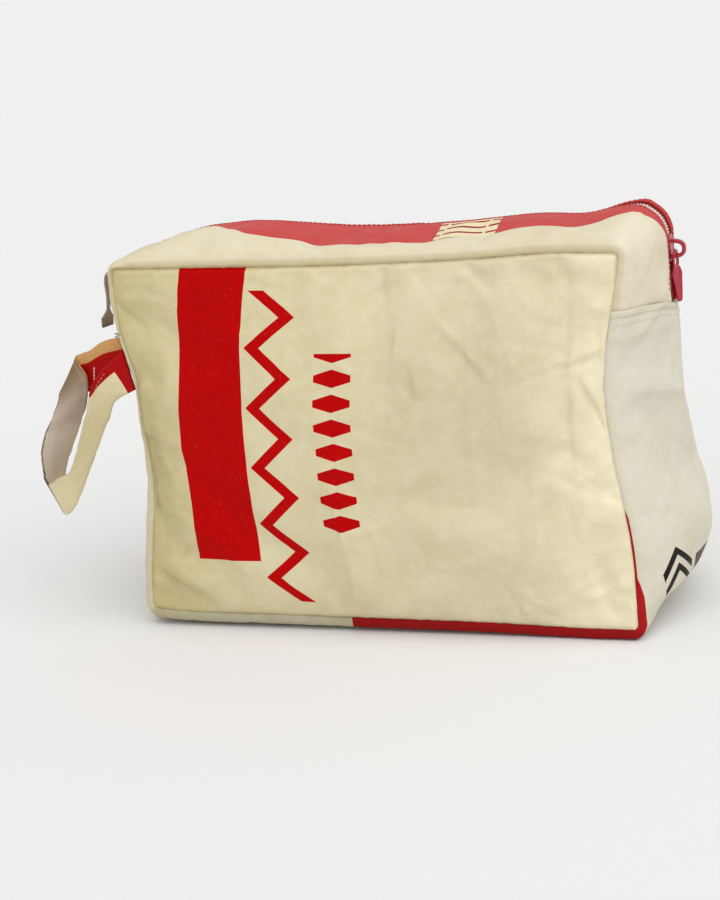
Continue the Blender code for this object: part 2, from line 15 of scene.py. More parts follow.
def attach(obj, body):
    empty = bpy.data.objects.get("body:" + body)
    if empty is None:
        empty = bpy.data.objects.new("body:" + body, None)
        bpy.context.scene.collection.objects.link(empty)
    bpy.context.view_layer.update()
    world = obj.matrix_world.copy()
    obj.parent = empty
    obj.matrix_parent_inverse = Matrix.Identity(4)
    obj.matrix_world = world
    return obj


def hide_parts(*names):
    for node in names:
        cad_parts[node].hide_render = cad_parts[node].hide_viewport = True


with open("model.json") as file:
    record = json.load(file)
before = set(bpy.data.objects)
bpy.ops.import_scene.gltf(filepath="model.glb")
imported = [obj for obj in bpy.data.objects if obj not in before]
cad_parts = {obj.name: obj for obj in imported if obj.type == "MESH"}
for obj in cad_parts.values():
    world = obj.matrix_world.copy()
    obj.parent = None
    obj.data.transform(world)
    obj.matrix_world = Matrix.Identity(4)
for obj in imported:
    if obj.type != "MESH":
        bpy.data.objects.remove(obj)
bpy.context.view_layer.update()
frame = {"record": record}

# The bag's dimensions in metres, as in the part's source
LENGTH = 0.270
PANEL_HEIGHT = 0.194
DEPTH = 0.120
ROLL_RADIUS = 0.0035
SEAM_LIP = 0.0010
CORNER_RADIUS = 0.003
END_SEAM_HEIGHT = 0.161
LEAN_START = 0.010
WALL = 0.0012
ZIP_OPENING = 0.014
TAPE_THICKNESS = 0.0008
TAPE_GAP = 0.0008
CHAIN_WIDTH = 0.0056
CHAIN_THICKNESS = 0.0022
SLIDER_HEIGHT = 0.184

ROLL = ROLL_RADIUS + SEAM_LIP
HALF_LENGTH = LENGTH / 2
HALF_DEPTH = DEPTH / 2
PANEL_LOW = ROLL
PANEL_HIGH = PANEL_LOW + PANEL_HEIGHT
PANEL_MIDDLE = (PANEL_LOW + PANEL_HIGH) / 2
FLAT_EDGE = HALF_DEPTH - ROLL_RADIUS
OUT_X = HALF_LENGTH + ROLL
OUT_LOW = PANEL_LOW - ROLL
OUT_HIGH = PANEL_HIGH + ROLL
TURN = CORNER_RADIUS + ROLL
CHAIN_INSET = WALL + TAPE_GAP + TAPE_THICKNESS / 2

CROWN_HEIGHTS = (0.0, 0.020, 0.048, 0.080, 0.120, 0.160, 0.190, 0.210)
RIGHT_CROWN = (0.006, 0.016, 0.0232, 0.0178, 0.0153, 0.0137, 0.0115, 0.0110)
LEFT_CROWN = (0.000, 0.001, 0.0030, 0.0060, 0.0095, 0.0160, 0.0190, 0.0160)
CROWN_LENGTHS = (-0.145, -0.125, -0.100, -0.070, -0.010, 0.045, 0.078, 0.110, 0.128, 0.145)
TOP_CROWN = (-0.012, -0.005, 0.0040, 0.0088, 0.0050, 0.0054, 0.0072, 0.0060, 0.0100, 0.0125)
RIDGE = -0.007
CORNER_REACH = 0.026
CORNER_PULLS = {
    (1, 1): (0.0068, 0.0032, 0.014),
    (1, -1): (0.0068, 0.0068, CORNER_REACH),
    (-1, 1): (0.0020, 0.0020, CORNER_REACH),
    (-1, -1): (0.0020, 0.0020, CORNER_REACH),
}
LIFT_LENGTHS = (-0.14, -0.12, -0.06, 0.0, 0.06, 0.11, 0.14)
FRONT_LIFT = (0.0045, 0.0030, 0.0024, 0.0019, 0.0014, 0.0, 0.0)
BOTTOM_SEAM_RISE = 0.0017
TOP_SEAM_DROP = (0.0024, 0.0020, 0.0010)    # at the left, in the middle and at the right
# Humps and hollows of the outline: height, centre and half width
LEFT_WAIST = ((0.0120, 0.45, 0.24), (0.0040, 0.69, 0.10))
RIGHT_WAIST = ((0.0115, 0.66, 0.26), (0.0014, 0.42, 0.12))
LEFT_FOOT_WAIST = 0.0045
SAG = ((0.0015, -0.03, 0.09),)
CORNER_RISE = ((0.0016, 0.10, 0.03),)
FRONT_TOP_RISE = ((0.0036, -0.117, 0.023),)
TOP_RISE = ((0.0024, 0.129, 0.012), (0.0016, 0.098, 0.016), (0.0014, -0.100, 0.030))
RIGHT_HOLLOW = ((0.0016, 0.085, 0.032),)
LEAN = 0.012            # how far the back leans in at the ends
BULGE = 0.16            # how much deeper the bag is in the middle of its panels
NARROWING = 0.14        # how much less deep it is at the top
REAR_DROP = 0.010       # how far the top falls towards the back
LEFT_FLATNESS = 0.85    # how much of the seam's roll is flattened on the left end

# Main soft folds of the cloth: start and end of each fold line, its height and half width;
# a height below 0 is a hollow. Places are (x, z) on the panels and (y, z) on the right end
FRONT_FOLDS = (
    ((0.112, 0.180), (0.110, 0.100), -0.0018, 0.010),
    ((0.060, 0.185), (0.052, 0.148), -0.0017, 0.011),
    ((0.084, 0.172), (0.080, 0.112), 0.0018, 0.013),
    ((0.113, 0.050), (0.119, 0.020), -0.0017, 0.010),
    ((0.030, 0.062), (0.088, 0.046), 0.0018, 0.013),
    ((0.013, 0.180), (0.010, 0.140), -0.0015, 0.010),
    ((-0.018, 0.090), (-0.010, 0.028), 0.0016, 0.011),
    ((-0.050, 0.150), (-0.030, 0.120), 0.0016, 0.013),
    ((-0.118, 0.172), (-0.098, 0.150), -0.0018, 0.010),
    ((-0.122, 0.120), (-0.116, 0.070), 0.0018, 0.011),
    ((-0.085, 0.075), (-0.060, 0.050), -0.0016, 0.012),
    ((-0.118, 0.034), (-0.098, 0.024), 0.0016, 0.009),
)
BACK_FOLDS = (
    ((-0.105, 0.165), (-0.085, 0.105), -0.0018, 0.012),
    ((-0.055, 0.140), (-0.060, 0.080), 0.0018, 0.013),
    ((-0.015, 0.170), (0.005, 0.125), -0.0016, 0.012),
    ((0.020, 0.080), (0.060, 0.055), 0.0018, 0.013),
    ((0.070, 0.160), (0.085, 0.110), 0.0016, 0.013),
    ((0.110, 0.070), (0.105, 0.030), -0.0016, 0.011),
    ((-0.030, 0.045), (0.000, 0.030), -0.0016, 0.011),
)
RIGHT_FOLDS = (
    ((-0.040, 0.152), (-0.022, 0.168), 0.0018, 0.008),
    ((-0.040, 0.128), (-0.008, 0.116), 0.0018, 0.009),
    ((-0.030, 0.108), (-0.024, 0.086), -0.0017, 0.010),
    ((0.010, 0.100), (0.028, 0.064), 0.0018, 0.011),
    ((0.024, 0.140), (0.034, 0.116), -0.0017, 0.009),
    ((-0.020, 0.058), (0.004, 0.040), 0.0015, 0.011),
)

STRAP_EDGES = (
    ((-0.1462, -0.0485, 0.1562), (-0.1464, -0.0485, 0.1292)),
    ((-0.1540, -0.0490, 0.1516), (-0.1590, -0.0490, 0.1292)),
    ((-0.1612, -0.0512, 0.1480), (-0.1716, -0.0512, 0.1305)),
    ((-0.1550, -0.0540, 0.1380), (-0.1731, -0.0548, 0.1248)),
    ((-0.1580, -0.0515, 0.1251), (-0.1745, -0.0620, 0.1180)),
    ((-0.1658, -0.0460, 0.1123), (-0.1785, -0.0650, 0.1090)),
    ((-0.1735, -0.0420, 0.0997), (-0.1822, -0.0640, 0.1000)),
    ((-0.1812, -0.0400, 0.0847), (-0.1842, -0.0610, 0.0925)),
    ((-0.1846, -0.0420, 0.0700), (-0.1850, -0.0595, 0.0855)),
    ((-0.1828, -0.0460, 0.0589), (-0.1836, -0.0590, 0.0800)),
    ((-0.1748, -0.0490, 0.0635), (-0.1766, -0.0620, 0.0835)),
    ((-0.1660, -0.0505, 0.0785), (-0.1672, -0.0622, 0.0892)),
    ((-0.1536, -0.0510, 0.1026), (-0.1562, -0.0672, 0.1100)),
    ((-0.1458, -0.0520, 0.1165), (-0.1496, -0.0695, 0.1245)),
    ((-0.1410, -0.0520, 0.1250), (-0.1450, -0.0650, 0.1400)),
)
STRAP_ROOT_REAR = (-0.0535, 0.1584, 0.1300)
STRAP_ROOT_FRONT = (-0.0575, 0.1310, 0.1530)
STRAP_THICKNESS = 0.0013
STRAP_ROOT_GAP = 0.0002

CLOTH_THICKNESS = 0.0006
MM = 0.001
ACROSS = np.array((0.0, 1.0, 0.0))      # from the front of the bag to its back


def new_piece(name, points, faces, outward=False):
    """A smooth mesh in the scene; outward turns its faces to the outside."""
    mesh = bpy.data.meshes.new(name)
    mesh.from_pydata(points.tolist(), [], faces)
    if outward:
        shaped = bmesh.new()
        shaped.from_mesh(mesh)
        bmesh.ops.recalc_face_normals(shaped, faces=shaped.faces)
        shaped.to_mesh(mesh)
        shaped.free()
    mesh.shade_smooth()
    piece = bpy.data.objects.new(name, mesh)
    bpy.context.scene.collection.objects.link(piece)
    return piece


def unit(vectors):
    """The vectors brought to length 1."""
    return vectors / np.maximum(np.linalg.norm(vectors, axis=-1, keepdims=True), 1e-12)


def run_length(line):
    """How far along a line each of its points lies."""
    steps = np.linalg.norm(np.diff(line, axis=0), axis=1)
    return np.concatenate([[0.0], np.cumsum(steps)])


def values_at(places, keys, values):
    """Rows of values, given at the keys, as they are at other places."""
    return np.stack([np.interp(places, keys, column) for column in values.T], -1)


def flat_places(u, v):
    """Flat places of the cloth, as vectors that a material can read."""
    return np.stack([u, v, 0 * u], -1)


def squared(angle, power):
    """Cosine and sine of an angle; the lower the power, the squarer their circle."""
    c, s = math.cos(angle), math.sin(angle)
    return math.copysign(abs(c) ** power, c), math.copysign(abs(s) ** power, s)


def smooth_step(value, low, high):
    """0 below low, 1 above high, with a soft rise between them."""
    t = np.clip((value - low) / (high - low), 0.0, 1.0)
    return t * t * (3 - 2 * t)


def hump(value, centre, width):
    """A smooth bump of height 1."""
    return np.exp(-((value - centre) / width) ** 2)


def humps(value, places):
    """The sum of smooth bumps, each given by its height, centre and half width."""
    return sum(height * hump(value, centre, width) for height, centre, width in places)


def soft_curve(value, keys, heights):
    """A smooth curve through the given heights."""
    keys = np.asarray(keys)
    heights = np.asarray(heights)
    slopes = np.gradient(heights, keys)
    value = np.clip(value, keys[0], keys[-1])
    i = np.clip(np.searchsorted(keys, value, side="right") - 1, 0, len(keys) - 2)
    span = keys[i + 1] - keys[i]
    t = (value - keys[i]) / span
    return (
        (2 * t ** 3 - 3 * t ** 2 + 1) * heights[i]
        + (t ** 3 - 2 * t ** 2 + t) * span * slopes[i]
        + (3 * t ** 2 - 2 * t ** 3) * heights[i + 1]
        + (t ** 3 - t ** 2) * span * slopes[i + 1]
    )


def top_middle(x):
    """1 over the long middle of the top, 0 at its two ends."""
    return 1 - smooth_step(abs(x), 0.105, 0.138)


def corner_pull(x, z):
    """How far a corner of the band is drawn in at mid depth, as dx and dz."""
    half_height = (OUT_HIGH - OUT_LOW) / 2
    above = z - PANEL_MIDDLE
    near_end = smooth_step(abs(x), OUT_X - CORNER_REACH, OUT_X)
    dx = np.zeros(np.broadcast(x, z).shape)
    dz = np.zeros_like(dx)
    for (side, level), (inward, upright, reach) in CORNER_PULLS.items():
        here = ((x > 0) == (side > 0)) & ((above > 0) == (level > 0))
        nearness = near_end * smooth_step(abs(above), half_height - reach, half_height)
        dx = np.where(here, -side * inward * nearness, dx)
        dz = np.where(here, -level * upright * nearness, dz)
    return dx, dz


def front_lift(x, y, z):
    """Small rises of the front seams: along the bottom edge and near the top right corner."""
    height = z / PANEL_HIGH
    edge = soft_curve(x, LIFT_LENGTHS, FRONT_LIFT) * smooth_step(-y, 0.035, HALF_DEPTH)
    seam = smooth_step(z, 0.001, PANEL_LOW) * (1 - smooth_step(z, PANEL_LOW, 0.030))
    corner = humps(x, CORNER_RISE) * smooth_step(height, 0.7, 1.0)
    drop = np.interp(x, (-HALF_LENGTH, 0.0, HALF_LENGTH), TOP_SEAM_DROP)
    drop = drop * smooth_step(z, 0.170, PANEL_HIGH)
    return (
        edge * (1 - smooth_step(height, 0.0, 0.3))
        + BOTTOM_SEAM_RISE * seam * smooth_step(-y, 0.050, HALF_DEPTH)
        + corner * smooth_step(-y, 0.0, HALF_DEPTH)
        - drop * smooth_step(-y, 0.0550, 0.0596)
    )


def soften(x, y, z):
    """Pull points of the plain box into the slumped shape of the filled bag."""
    height = np.clip(z / PANEL_HIGH, 0.0, 1.03)
    side = np.minimum(abs(x) / HALF_LENGTH, 1.0)
    across = np.minimum(abs(y) / HALF_DEPTH, 1.0)
    behind = smooth_step(y, LEAN_START, HALF_DEPTH)
    left_waist = humps(height, LEFT_WAIST) + LEFT_FOOT_WAIST * (1 - smooth_step(height, 0.1, 0.6))
    waist = np.where(
        x < 0,
        left_waist * (0.45 + 0.55 * across ** 2),
        humps(height, RIGHT_WAIST) * (0.25 + 0.75 * across ** 2),
    )
    lean = LEAN * behind * smooth_step(height, 0.3, 1.0)
    soft_x = x - np.sign(x) * side ** 3 * (waist + lean)
    along = np.maximum(1 - side ** 2, 0.0) ** 0.8
    up = np.maximum(1 - ((z - PANEL_MIDDLE) / (PANEL_HEIGHT / 2)) ** 2, 0.0) ** 0.8
    soft_y = y * (1 + BULGE * along * up) * (1 - NARROWING * smooth_step(height, 0.25, 1.0))
    drop_start = LEAN_START + (RIDGE - LEAN_START) * top_middle(x)
    drop = REAR_DROP * smooth_step(y, drop_start, HALF_DEPTH) * smooth_step(height, 0.5, 1.0)
    sag = humps(x, SAG) * smooth_step(height, 0.8, 1.0)
    soft_z = z + front_lift(x, y, z) - drop - sag
    return np.stack(np.broadcast_arrays(soft_x, soft_y, soft_z), -1)


def fold_height(u, v, folds):
    """How far the soft folds raise the cloth at its places."""
    total = 0.0
    for (start_u, start_v), (end_u, end_v), height, half_width in folds:
        along_u = end_u - start_u
        along_v = end_v - start_v
        t = ((u - start_u) * along_u + (v - start_v) * along_v) / (along_u ** 2 + along_v ** 2)
        t = np.clip(t, 0.0, 1.0)
        away = np.hypot(u - start_u - along_u * t, v - start_v - along_v * t)
        total = total + height * np.exp(-(away / half_width) ** 2)
    return total


def panel_fold(x, z, side):
    """The folds of the front or back panel, none at its seams."""
    inward = np.minimum(HALF_LENGTH - abs(x), np.minimum(z - PANEL_LOW, PANEL_HIGH - z))
    folds = FRONT_FOLDS if side < 0 else BACK_FOLDS
    return fold_height(x, z, folds) * smooth_step(inward, 0.002, 0.014)


def end_fold(x, y, z):
    """The folds of the right end, none at its seams, at the zip, or high and low."""
    across = 1 - smooth_step(abs(y), 0.040, 0.053)
    upright = smooth_step(z, 0.014, 0.028) * (1 - smooth_step(z, 0.176, 0.190))
    near_zip = smooth_step(z, 0.138, 0.153) * (1 - smooth_step(abs(y), 0.011, 0.022))
    share = across * upright * (1 - near_zip) * smooth_step(x, 0.130, OUT_X)
    return fold_height(y, z, RIGHT_FOLDS) * share


def band_surface(x, z, nx, nz, y, inset=0.0):
    """Points of the band at stations of its outline and at depths, set in by its rolled edge."""
    share = np.maximum(1 - (y / HALF_DEPTH) ** 2, 0.0)
    near_end = smooth_step(abs(x), 0.112, 0.136)
    near_top = smooth_step(z, 0.175, 0.200)
    outward = np.where(
        x > 0, soft_curve(z, CROWN_HEIGHTS, RIGHT_CROWN), -soft_curve(z, CROWN_HEIGHTS, LEFT_CROWN)
    )
    crown_x = outward * near_end
    crown_z = soft_curve(x, CROWN_LENGTHS, TOP_CROWN) * near_top
    peak = np.where(
        y < RIDGE,
        1 - ((y - RIDGE) / (HALF_DEPTH + RIDGE)) ** 2,
        (HALF_DEPTH - y) / (HALF_DEPTH - RIDGE),
    )
    top_share = share + (peak - share) * top_middle(x)
    pull_x, pull_z = corner_pull(x, z)
    rise = humps(x, FRONT_TOP_RISE) * (1 - smooth_step(y, -0.034, 0.0)) + humps(x, TOP_RISE)
    crown_z = crown_z + rise * smooth_step(z, 0.190, 0.200)
    crown_x = crown_x - humps(z, RIGHT_HOLLOW) * near_end * (x > 0)
    end_share = np.where(x < 0, 0.35 * share + 0.65 * (1 - abs(y) / HALF_DEPTH), share)
    flat = smooth_step(z, 0.055, 0.125) * (1 - smooth_step(x, -HALF_LENGTH, -0.120))
    depth = inset + np.maximum(ROLL_RADIUS - inset, 0.0) * LEFT_FLATNESS * flat
    return soften(
        x - nx * depth + crown_x * end_share + pull_x * share + end_fold(x, y, z),
        y,
        z - nz * depth + crown_z * top_share + pull_z * share,
    )


def side_stations(start, end, normal, count):
    """Stations (x, z, normal x, normal z) along a straight side, its last point left off."""
    t = np.linspace(0, 1, count, endpoint=False)[:, None]
    places = np.array(start) * (1 - t) + np.array(end) * t
    return np.hstack([places, np.tile(normal, (count, 1))])


def corner_stations(centre_x, centre_z, first_angle, count=4):
    """Stations round a quarter of an outline corner, anticlockwise."""
    angle = np.radians(first_angle + 90 * np.arange(count) / count)
    normal = np.stack([np.cos(angle), np.sin(angle)], 1)
    return np.hstack([np.array([centre_x, centre_z]) + TURN * normal, normal])


# The outline runs down the left end, along the bottom, up the right end and back over the top
LONG_STEPS = 88
LOW_STEPS = 51
HIGH_STEPS = 12
OUTLINE = np.vstack([
    side_stations((-OUT_X, END_SEAM_HEIGHT), (-OUT_X, OUT_LOW + TURN), (-1, 0), LOW_STEPS),
    corner_stations(-OUT_X + TURN, OUT_LOW + TURN, 180),
    side_stations((-OUT_X + TURN, OUT_LOW), (OUT_X - TURN, OUT_LOW), (0, -1), LONG_STEPS),
    corner_stations(OUT_X - TURN, OUT_LOW + TURN, 270),
    side_stations((OUT_X, OUT_LOW + TURN), (OUT_X, END_SEAM_HEIGHT), (1, 0), LOW_STEPS),
    side_stations((OUT_X, END_SEAM_HEIGHT), (OUT_X, OUT_HIGH - TURN), (1, 0), HIGH_STEPS),
    corner_stations(OUT_X - TURN, OUT_HIGH - TURN, 0),
    side_stations((OUT_X - TURN, OUT_HIGH), (-OUT_X + TURN, OUT_HIGH), (0, 1), LONG_STEPS),
    corner_stations(-OUT_X + TURN, OUT_HIGH - TURN, 90),
    side_stations((-OUT_X, OUT_HIGH - TURN), (-OUT_X, END_SEAM_HEIGHT), (-1, 0), HIGH_STEPS),
])
RIGHT_SEAM = 2 * LOW_STEPS + LONG_STEPS + 8      # station where the right end seam crosses

roll_angles = np.radians([90, 72, 54, 36, 18])
roll_depth = np.concatenate([[HALF_DEPTH], FLAT_EDGE + ROLL_RADIUS * np.sin(roll_angles)])
roll_inset = np.concatenate([[ROLL], ROLL_RADIUS * (1 - np.cos(roll_angles))])
half_opening = ZIP_OPENING / 2
flat_depth = np.concatenate([
    np.linspace(-FLAT_EDGE, -half_opening, 18),
    np.linspace(-half_opening, half_opening, 5)[1:-1],
    np.linspace(half_opening, FLAT_EDGE, 18),
])
SECTION_DEPTH = np.concatenate([-roll_depth, flat_depth, roll_depth[::-1]])
SECTION_INSET = np.concatenate([roll_inset, np.zeros(len(flat_depth)), roll_inset[::-1]])

INNER_X = HALF_LENGTH - CORNER_RADIUS
INNER_Z = PANEL_HEIGHT / 2 - CORNER_RADIUS
row_bend = CORNER_RADIUS * math.tan(math.radians(22.5))
PANEL_X = np.concatenate([
    [-HALF_LENGTH, -INNER_X - row_bend],
    np.linspace(-INNER_X, INNER_X, LONG_STEPS + 1),
    [INNER_X + row_bend, HALF_LENGTH],
])
low_rows = np.linspace(OUT_LOW + TURN, END_SEAM_HEIGHT, LOW_STEPS + 1)
high_rows = np.linspace(END_SEAM_HEIGHT, OUT_HIGH - TURN, HIGH_STEPS + 1)[1:]
PANEL_Z = np.concatenate([
    [PANEL_LOW, low_rows[0] - row_bend],
    low_rows,
    high_rows,
    [high_rows[-1] + row_bend, PANEL_HIGH],
])


def panel_plane():
    """Flat places (x, z) of a panel's grid, with its corners drawn in to the corner radius."""
    x, z = np.meshgrid(PANEL_X, PANEL_Z - PANEL_MIDDLE)
    past_x = np.maximum(abs(x) - INNER_X, 0.0)
    past_z = np.maximum(abs(z) - INNER_Z, 0.0)
    pull_in = np.maximum(past_x, past_z) / np.maximum(np.hypot(past_x, past_z), 1e-9)
    corner = (past_x > 1e-7) & (past_z > 1e-7)
    x = np.where(corner, np.sign(x) * (INNER_X + past_x * pull_in), x)
    z = np.where(corner, np.sign(z) * (INNER_Z + past_z * pull_in), z)
    return x, z + PANEL_MIDDLE


def build_shell():
    """Rest points of the closed shell, and the point numbers of the band and the two panels."""
    stations = OUTLINE[:, None, :]
    band = band_surface(
        stations[..., 0], stations[..., 1], stations[..., 2], stations[..., 3],
        SECTION_DEPTH[None, :], SECTION_INSET[None, :],
    )
    band_ids = np.arange(band.shape[0] * band.shape[1]).reshape(band.shape[:2])
    points = [band.reshape(-1, 3)]
    count = band_ids.size
    seam_x = OUTLINE[:, 0] - OUTLINE[:, 2] * ROLL
    seam_z = OUTLINE[:, 1] - OUTLINE[:, 3] * ROLL
    plane_x, plane_z = panel_plane()
    panels = []
    for side, column in ((-1, 0), (1, -1)):
        ids = np.zeros(plane_x.shape, int)
        edge = np.ones(plane_x.shape, bool)
        edge[1:-1, 1:-1] = False
        for row, col in zip(*np.nonzero(edge)):
            gap = np.hypot(seam_x - plane_x[row, col], seam_z - plane_z[row, col])
            ids[row, col] = band_ids[int(np.argmin(gap)), column]
        inner = ~edge
        ids[inner] = count + np.arange(inner.sum())
        count += int(inner.sum())
        x = plane_x[inner]
        z = plane_z[inner]
        points.append(soften(x, side * (HALF_DEPTH + panel_fold(x, z, side)), z))
        panels.append(ids)
    return np.vstack(points), band_ids, panels[0], panels[1]


def grid_faces(ids, flip=False):
    """Quads over a grid of point numbers."""
    a, b, c, d = ids[:-1, :-1], ids[:-1, 1:], ids[1:, 1:], ids[1:, :-1]
    order = (a, d, c, b) if flip else (a, b, c, d)
    return np.stack(order, -1).reshape(-1, 4)


CLOTH_FRAMES = 22
CLOTH_SETTINGS = {
    "quality": 5, "mass": 0.2, "air_damping": 3.0,
    "tension_stiffness": 12, "compression_stiffness": 12,
    "shear_stiffness": 8, "bending_stiffness": 8.0,
    "tension_damping": 12, "compression_damping": 12,
    "shear_damping": 10, "bending_damping": 1.0,
    "vertex_group_mass": "pins", "pin_stiffness": 1.0, "shrink_min": -0.012,
    "use_pressure": True, "uniform_pressure_force": 0.3,
}
FURTHEST_MOVE = 1.8 * MM


def relax_cloth(points, faces, pins):
    """Let the shell settle as cloth: a little too large for its seams, blown up a little."""
    shell = new_piece("relaxing", points, faces.tolist(), outward=True)
    group = shell.vertex_groups.new(name="pins")
    for weight in np.unique(pins):
        chosen = np.nonzero(pins == weight)[0].tolist()
        group.add(chosen, float(weight), "REPLACE")
    cloth = shell.modifiers.new("cloth", "CLOTH")
    for setting, value in CLOTH_SETTINGS.items():
        setattr(cloth.settings, setting, value)
    cloth.settings.effector_weights.gravity = 0
    cloth.point_cache.frame_start = 1
    cloth.point_cache.frame_end = CLOTH_FRAMES
    scene = bpy.context.scene
    for step in range(1, CLOTH_FRAMES + 1):
        scene.frame_set(step)
    settled = shell.evaluated_get(bpy.context.evaluated_depsgraph_get())
    moved = np.empty(len(points) * 3)
    settled.data.vertices.foreach_get("co", moved)
    scene.frame_set(1)
    bpy.data.objects.remove(shell, do_unlink=True)
    return moved.reshape(-1, 3)


def capped(moves):
    """The moves, none of them further than the cloth may go."""
    length = np.linalg.norm(moves, axis=1, keepdims=True)
    return moves * FURTHEST_MOVE * np.tanh(length / FURTHEST_MOVE) / np.maximum(length, 1e-9)


def even_out(moves, ids):
    """Take the smallest kinks out of the moves of a grid of points."""
    grid = moves[ids]
    around = grid[:-2, 1:-1] + grid[2:, 1:-1] + grid[1:-1, :-2] + grid[1:-1, 2:]
    moves[ids[1:-1, 1:-1]] = grid[1:-1, 1:-1] / 2 + around / 8


# How firmly the settling cloth is held, 0 to 1
LOOSE_PIN = 0.06
ROLL_PIN = 0.4
BOTTOM_PIN = 0.5
END_SEAM_PIN = 0.9
PANEL_SEAM_PIN = 0.97

rest_points, band_ids, front_ids, back_ids = build_shell()
closed_ids = np.vstack([band_ids, band_ids[:1]])
shell_points = rest_points
pins = np.full(len(rest_points), LOOSE_PIN)
zip_pins = LOOSE_PIN + (1 - LOOSE_PIN) * (1 - smooth_step(abs(SECTION_DEPTH), 0.008, 0.022))
on_top = np.arange(len(OUTLINE)) >= RIGHT_SEAM - 2
pins[band_ids[on_top]] = zip_pins
pins[band_ids[:, abs(SECTION_DEPTH) > FLAT_EDGE]] = ROLL_PIN
pins[band_ids[np.ix_(abs(OUTLINE[:, 1]) < 1e-6, abs(SECTION_DEPTH) < FLAT_EDGE)]] = BOTTOM_PIN
end_seams = band_ids[[0, RIGHT_SEAM]]
pins[end_seams] = np.maximum(pins[end_seams], END_SEAM_PIN)
pins[band_ids[:, [0, -1]]] = PANEL_SEAM_PIN
pins = np.round(pins, 2)
shell_faces = np.vstack([
    grid_faces(closed_ids),
    grid_faces(front_ids),
    grid_faces(back_ids, flip=True),
])
start = rest_points + np.random.default_rng(5).normal(0, 0.05 * MM, rest_points.shape)
moves = capped(relax_cloth(start, shell_faces, pins) - rest_points)
for _ in range(2):
    even_out(moves, np.vstack([band_ids[-1:], band_ids, band_ids[:1]]))
    even_out(moves, front_ids)
    even_out(moves, back_ids)
shell_points = rest_points + moves
shell_points[:, 2] = np.maximum(shell_points[:, 2], 0.0)


def refine(grid, axis):
    """Twice as many steps along one axis of a grid, on a smooth curve through its points."""
    grid = np.moveaxis(grid, axis, 0)
    ends = (2 * grid[:1] - grid[1:2], grid, 2 * grid[-1:] - grid[-2:-1])
    padded = np.concatenate(ends)
    middle = (9 * (padded[1:-2] + padded[2:-1]) - padded[:-3] - padded[3:]) / 16
    finer = np.empty((2 * len(grid) - 1, *grid.shape[1:]))
    finer[0::2] = grid
    finer[1::2] = middle
    return np.moveaxis(finer, 0, axis)


def refine_both(grid):
    return refine(refine(grid, 0), 1)


def halves(values):
    """The values with their midpoints between them."""
    middle = (values[1:] + values[:-1]) / 2
    return np.insert(values, np.arange(1, len(values)), middle)


def grid_normals(grid, flip=False):
    """Outward normals of a grid of points."""
    normal = unit(np.cross(np.gradient(grid, axis=1), np.gradient(grid, axis=0)))
    return -normal if flip else normal


def crease(u, v, start, end, height, width, kind):
    """A fold line between two places of the cloth, in mm; its height falls off to both sides."""
    start = np.array(start, float) * MM
    along = np.array(end, float) * MM - start
    length = np.linalg.norm(along)
    along /= length
    du = u - start[0]
    dv = v - start[1]
    t = du * along[0] + dv * along[1]
    off = (dv * along[0] - du * along[1]) / (width * MM)
    fade = 6 * MM
    window = smooth_step(t, -fade, fade) * (1 - smooth_step(t, length - fade, length + fade))
    fall = np.exp(-abs(off))
    shape = fall if kind == "ridge" else 1.6 * off * fall
    return height * MM * shape * window


RIPPLE_LENGTHS = (0.006, 0.0085, 0.013, 0.021)


def ripple(s, seed):
    """A seeded wavy line, about -1 to 1."""
    draw = np.random.default_rng(seed)
    wave = np.zeros_like(s)
    for length in RIPPLE_LENGTHS:
        wave += np.sin(2 * np.pi * s / (length * draw.uniform(0.85, 1.15)) + draw.uniform(0, 6.28))
    return wave / len(RIPPLE_LENGTHS) * 1.6


def crumple(u, v, seed, count, box, height):
    """Seeded fine fold lines over a box of the cloth, given in mm."""
    draw = np.random.default_rng(seed)
    total = np.zeros_like(u)
    for _ in range(count):
        middle = np.array([draw.uniform(box[0], box[2]), draw.uniform(box[1], box[3])])
        angle = draw.uniform(0, np.pi)
        reach = draw.uniform(6, 26) * np.array([math.cos(angle), math.sin(angle)])
        size = draw.uniform(0.3, 1.0) * height * draw.choice([-1, 1])
        kind = "ridge" if draw.random() < 0.4 else "step"
        total += crease(u, v, middle - reach, middle + reach, size, draw.uniform(1.2, 3.6), kind)
    return total


def seam_depth(z):
    """How deep a panel seam lies under the cloth, deepest along the top."""
    return (0.60 + 0.75 * smooth_step(z, 0.182, 0.190)) * MM


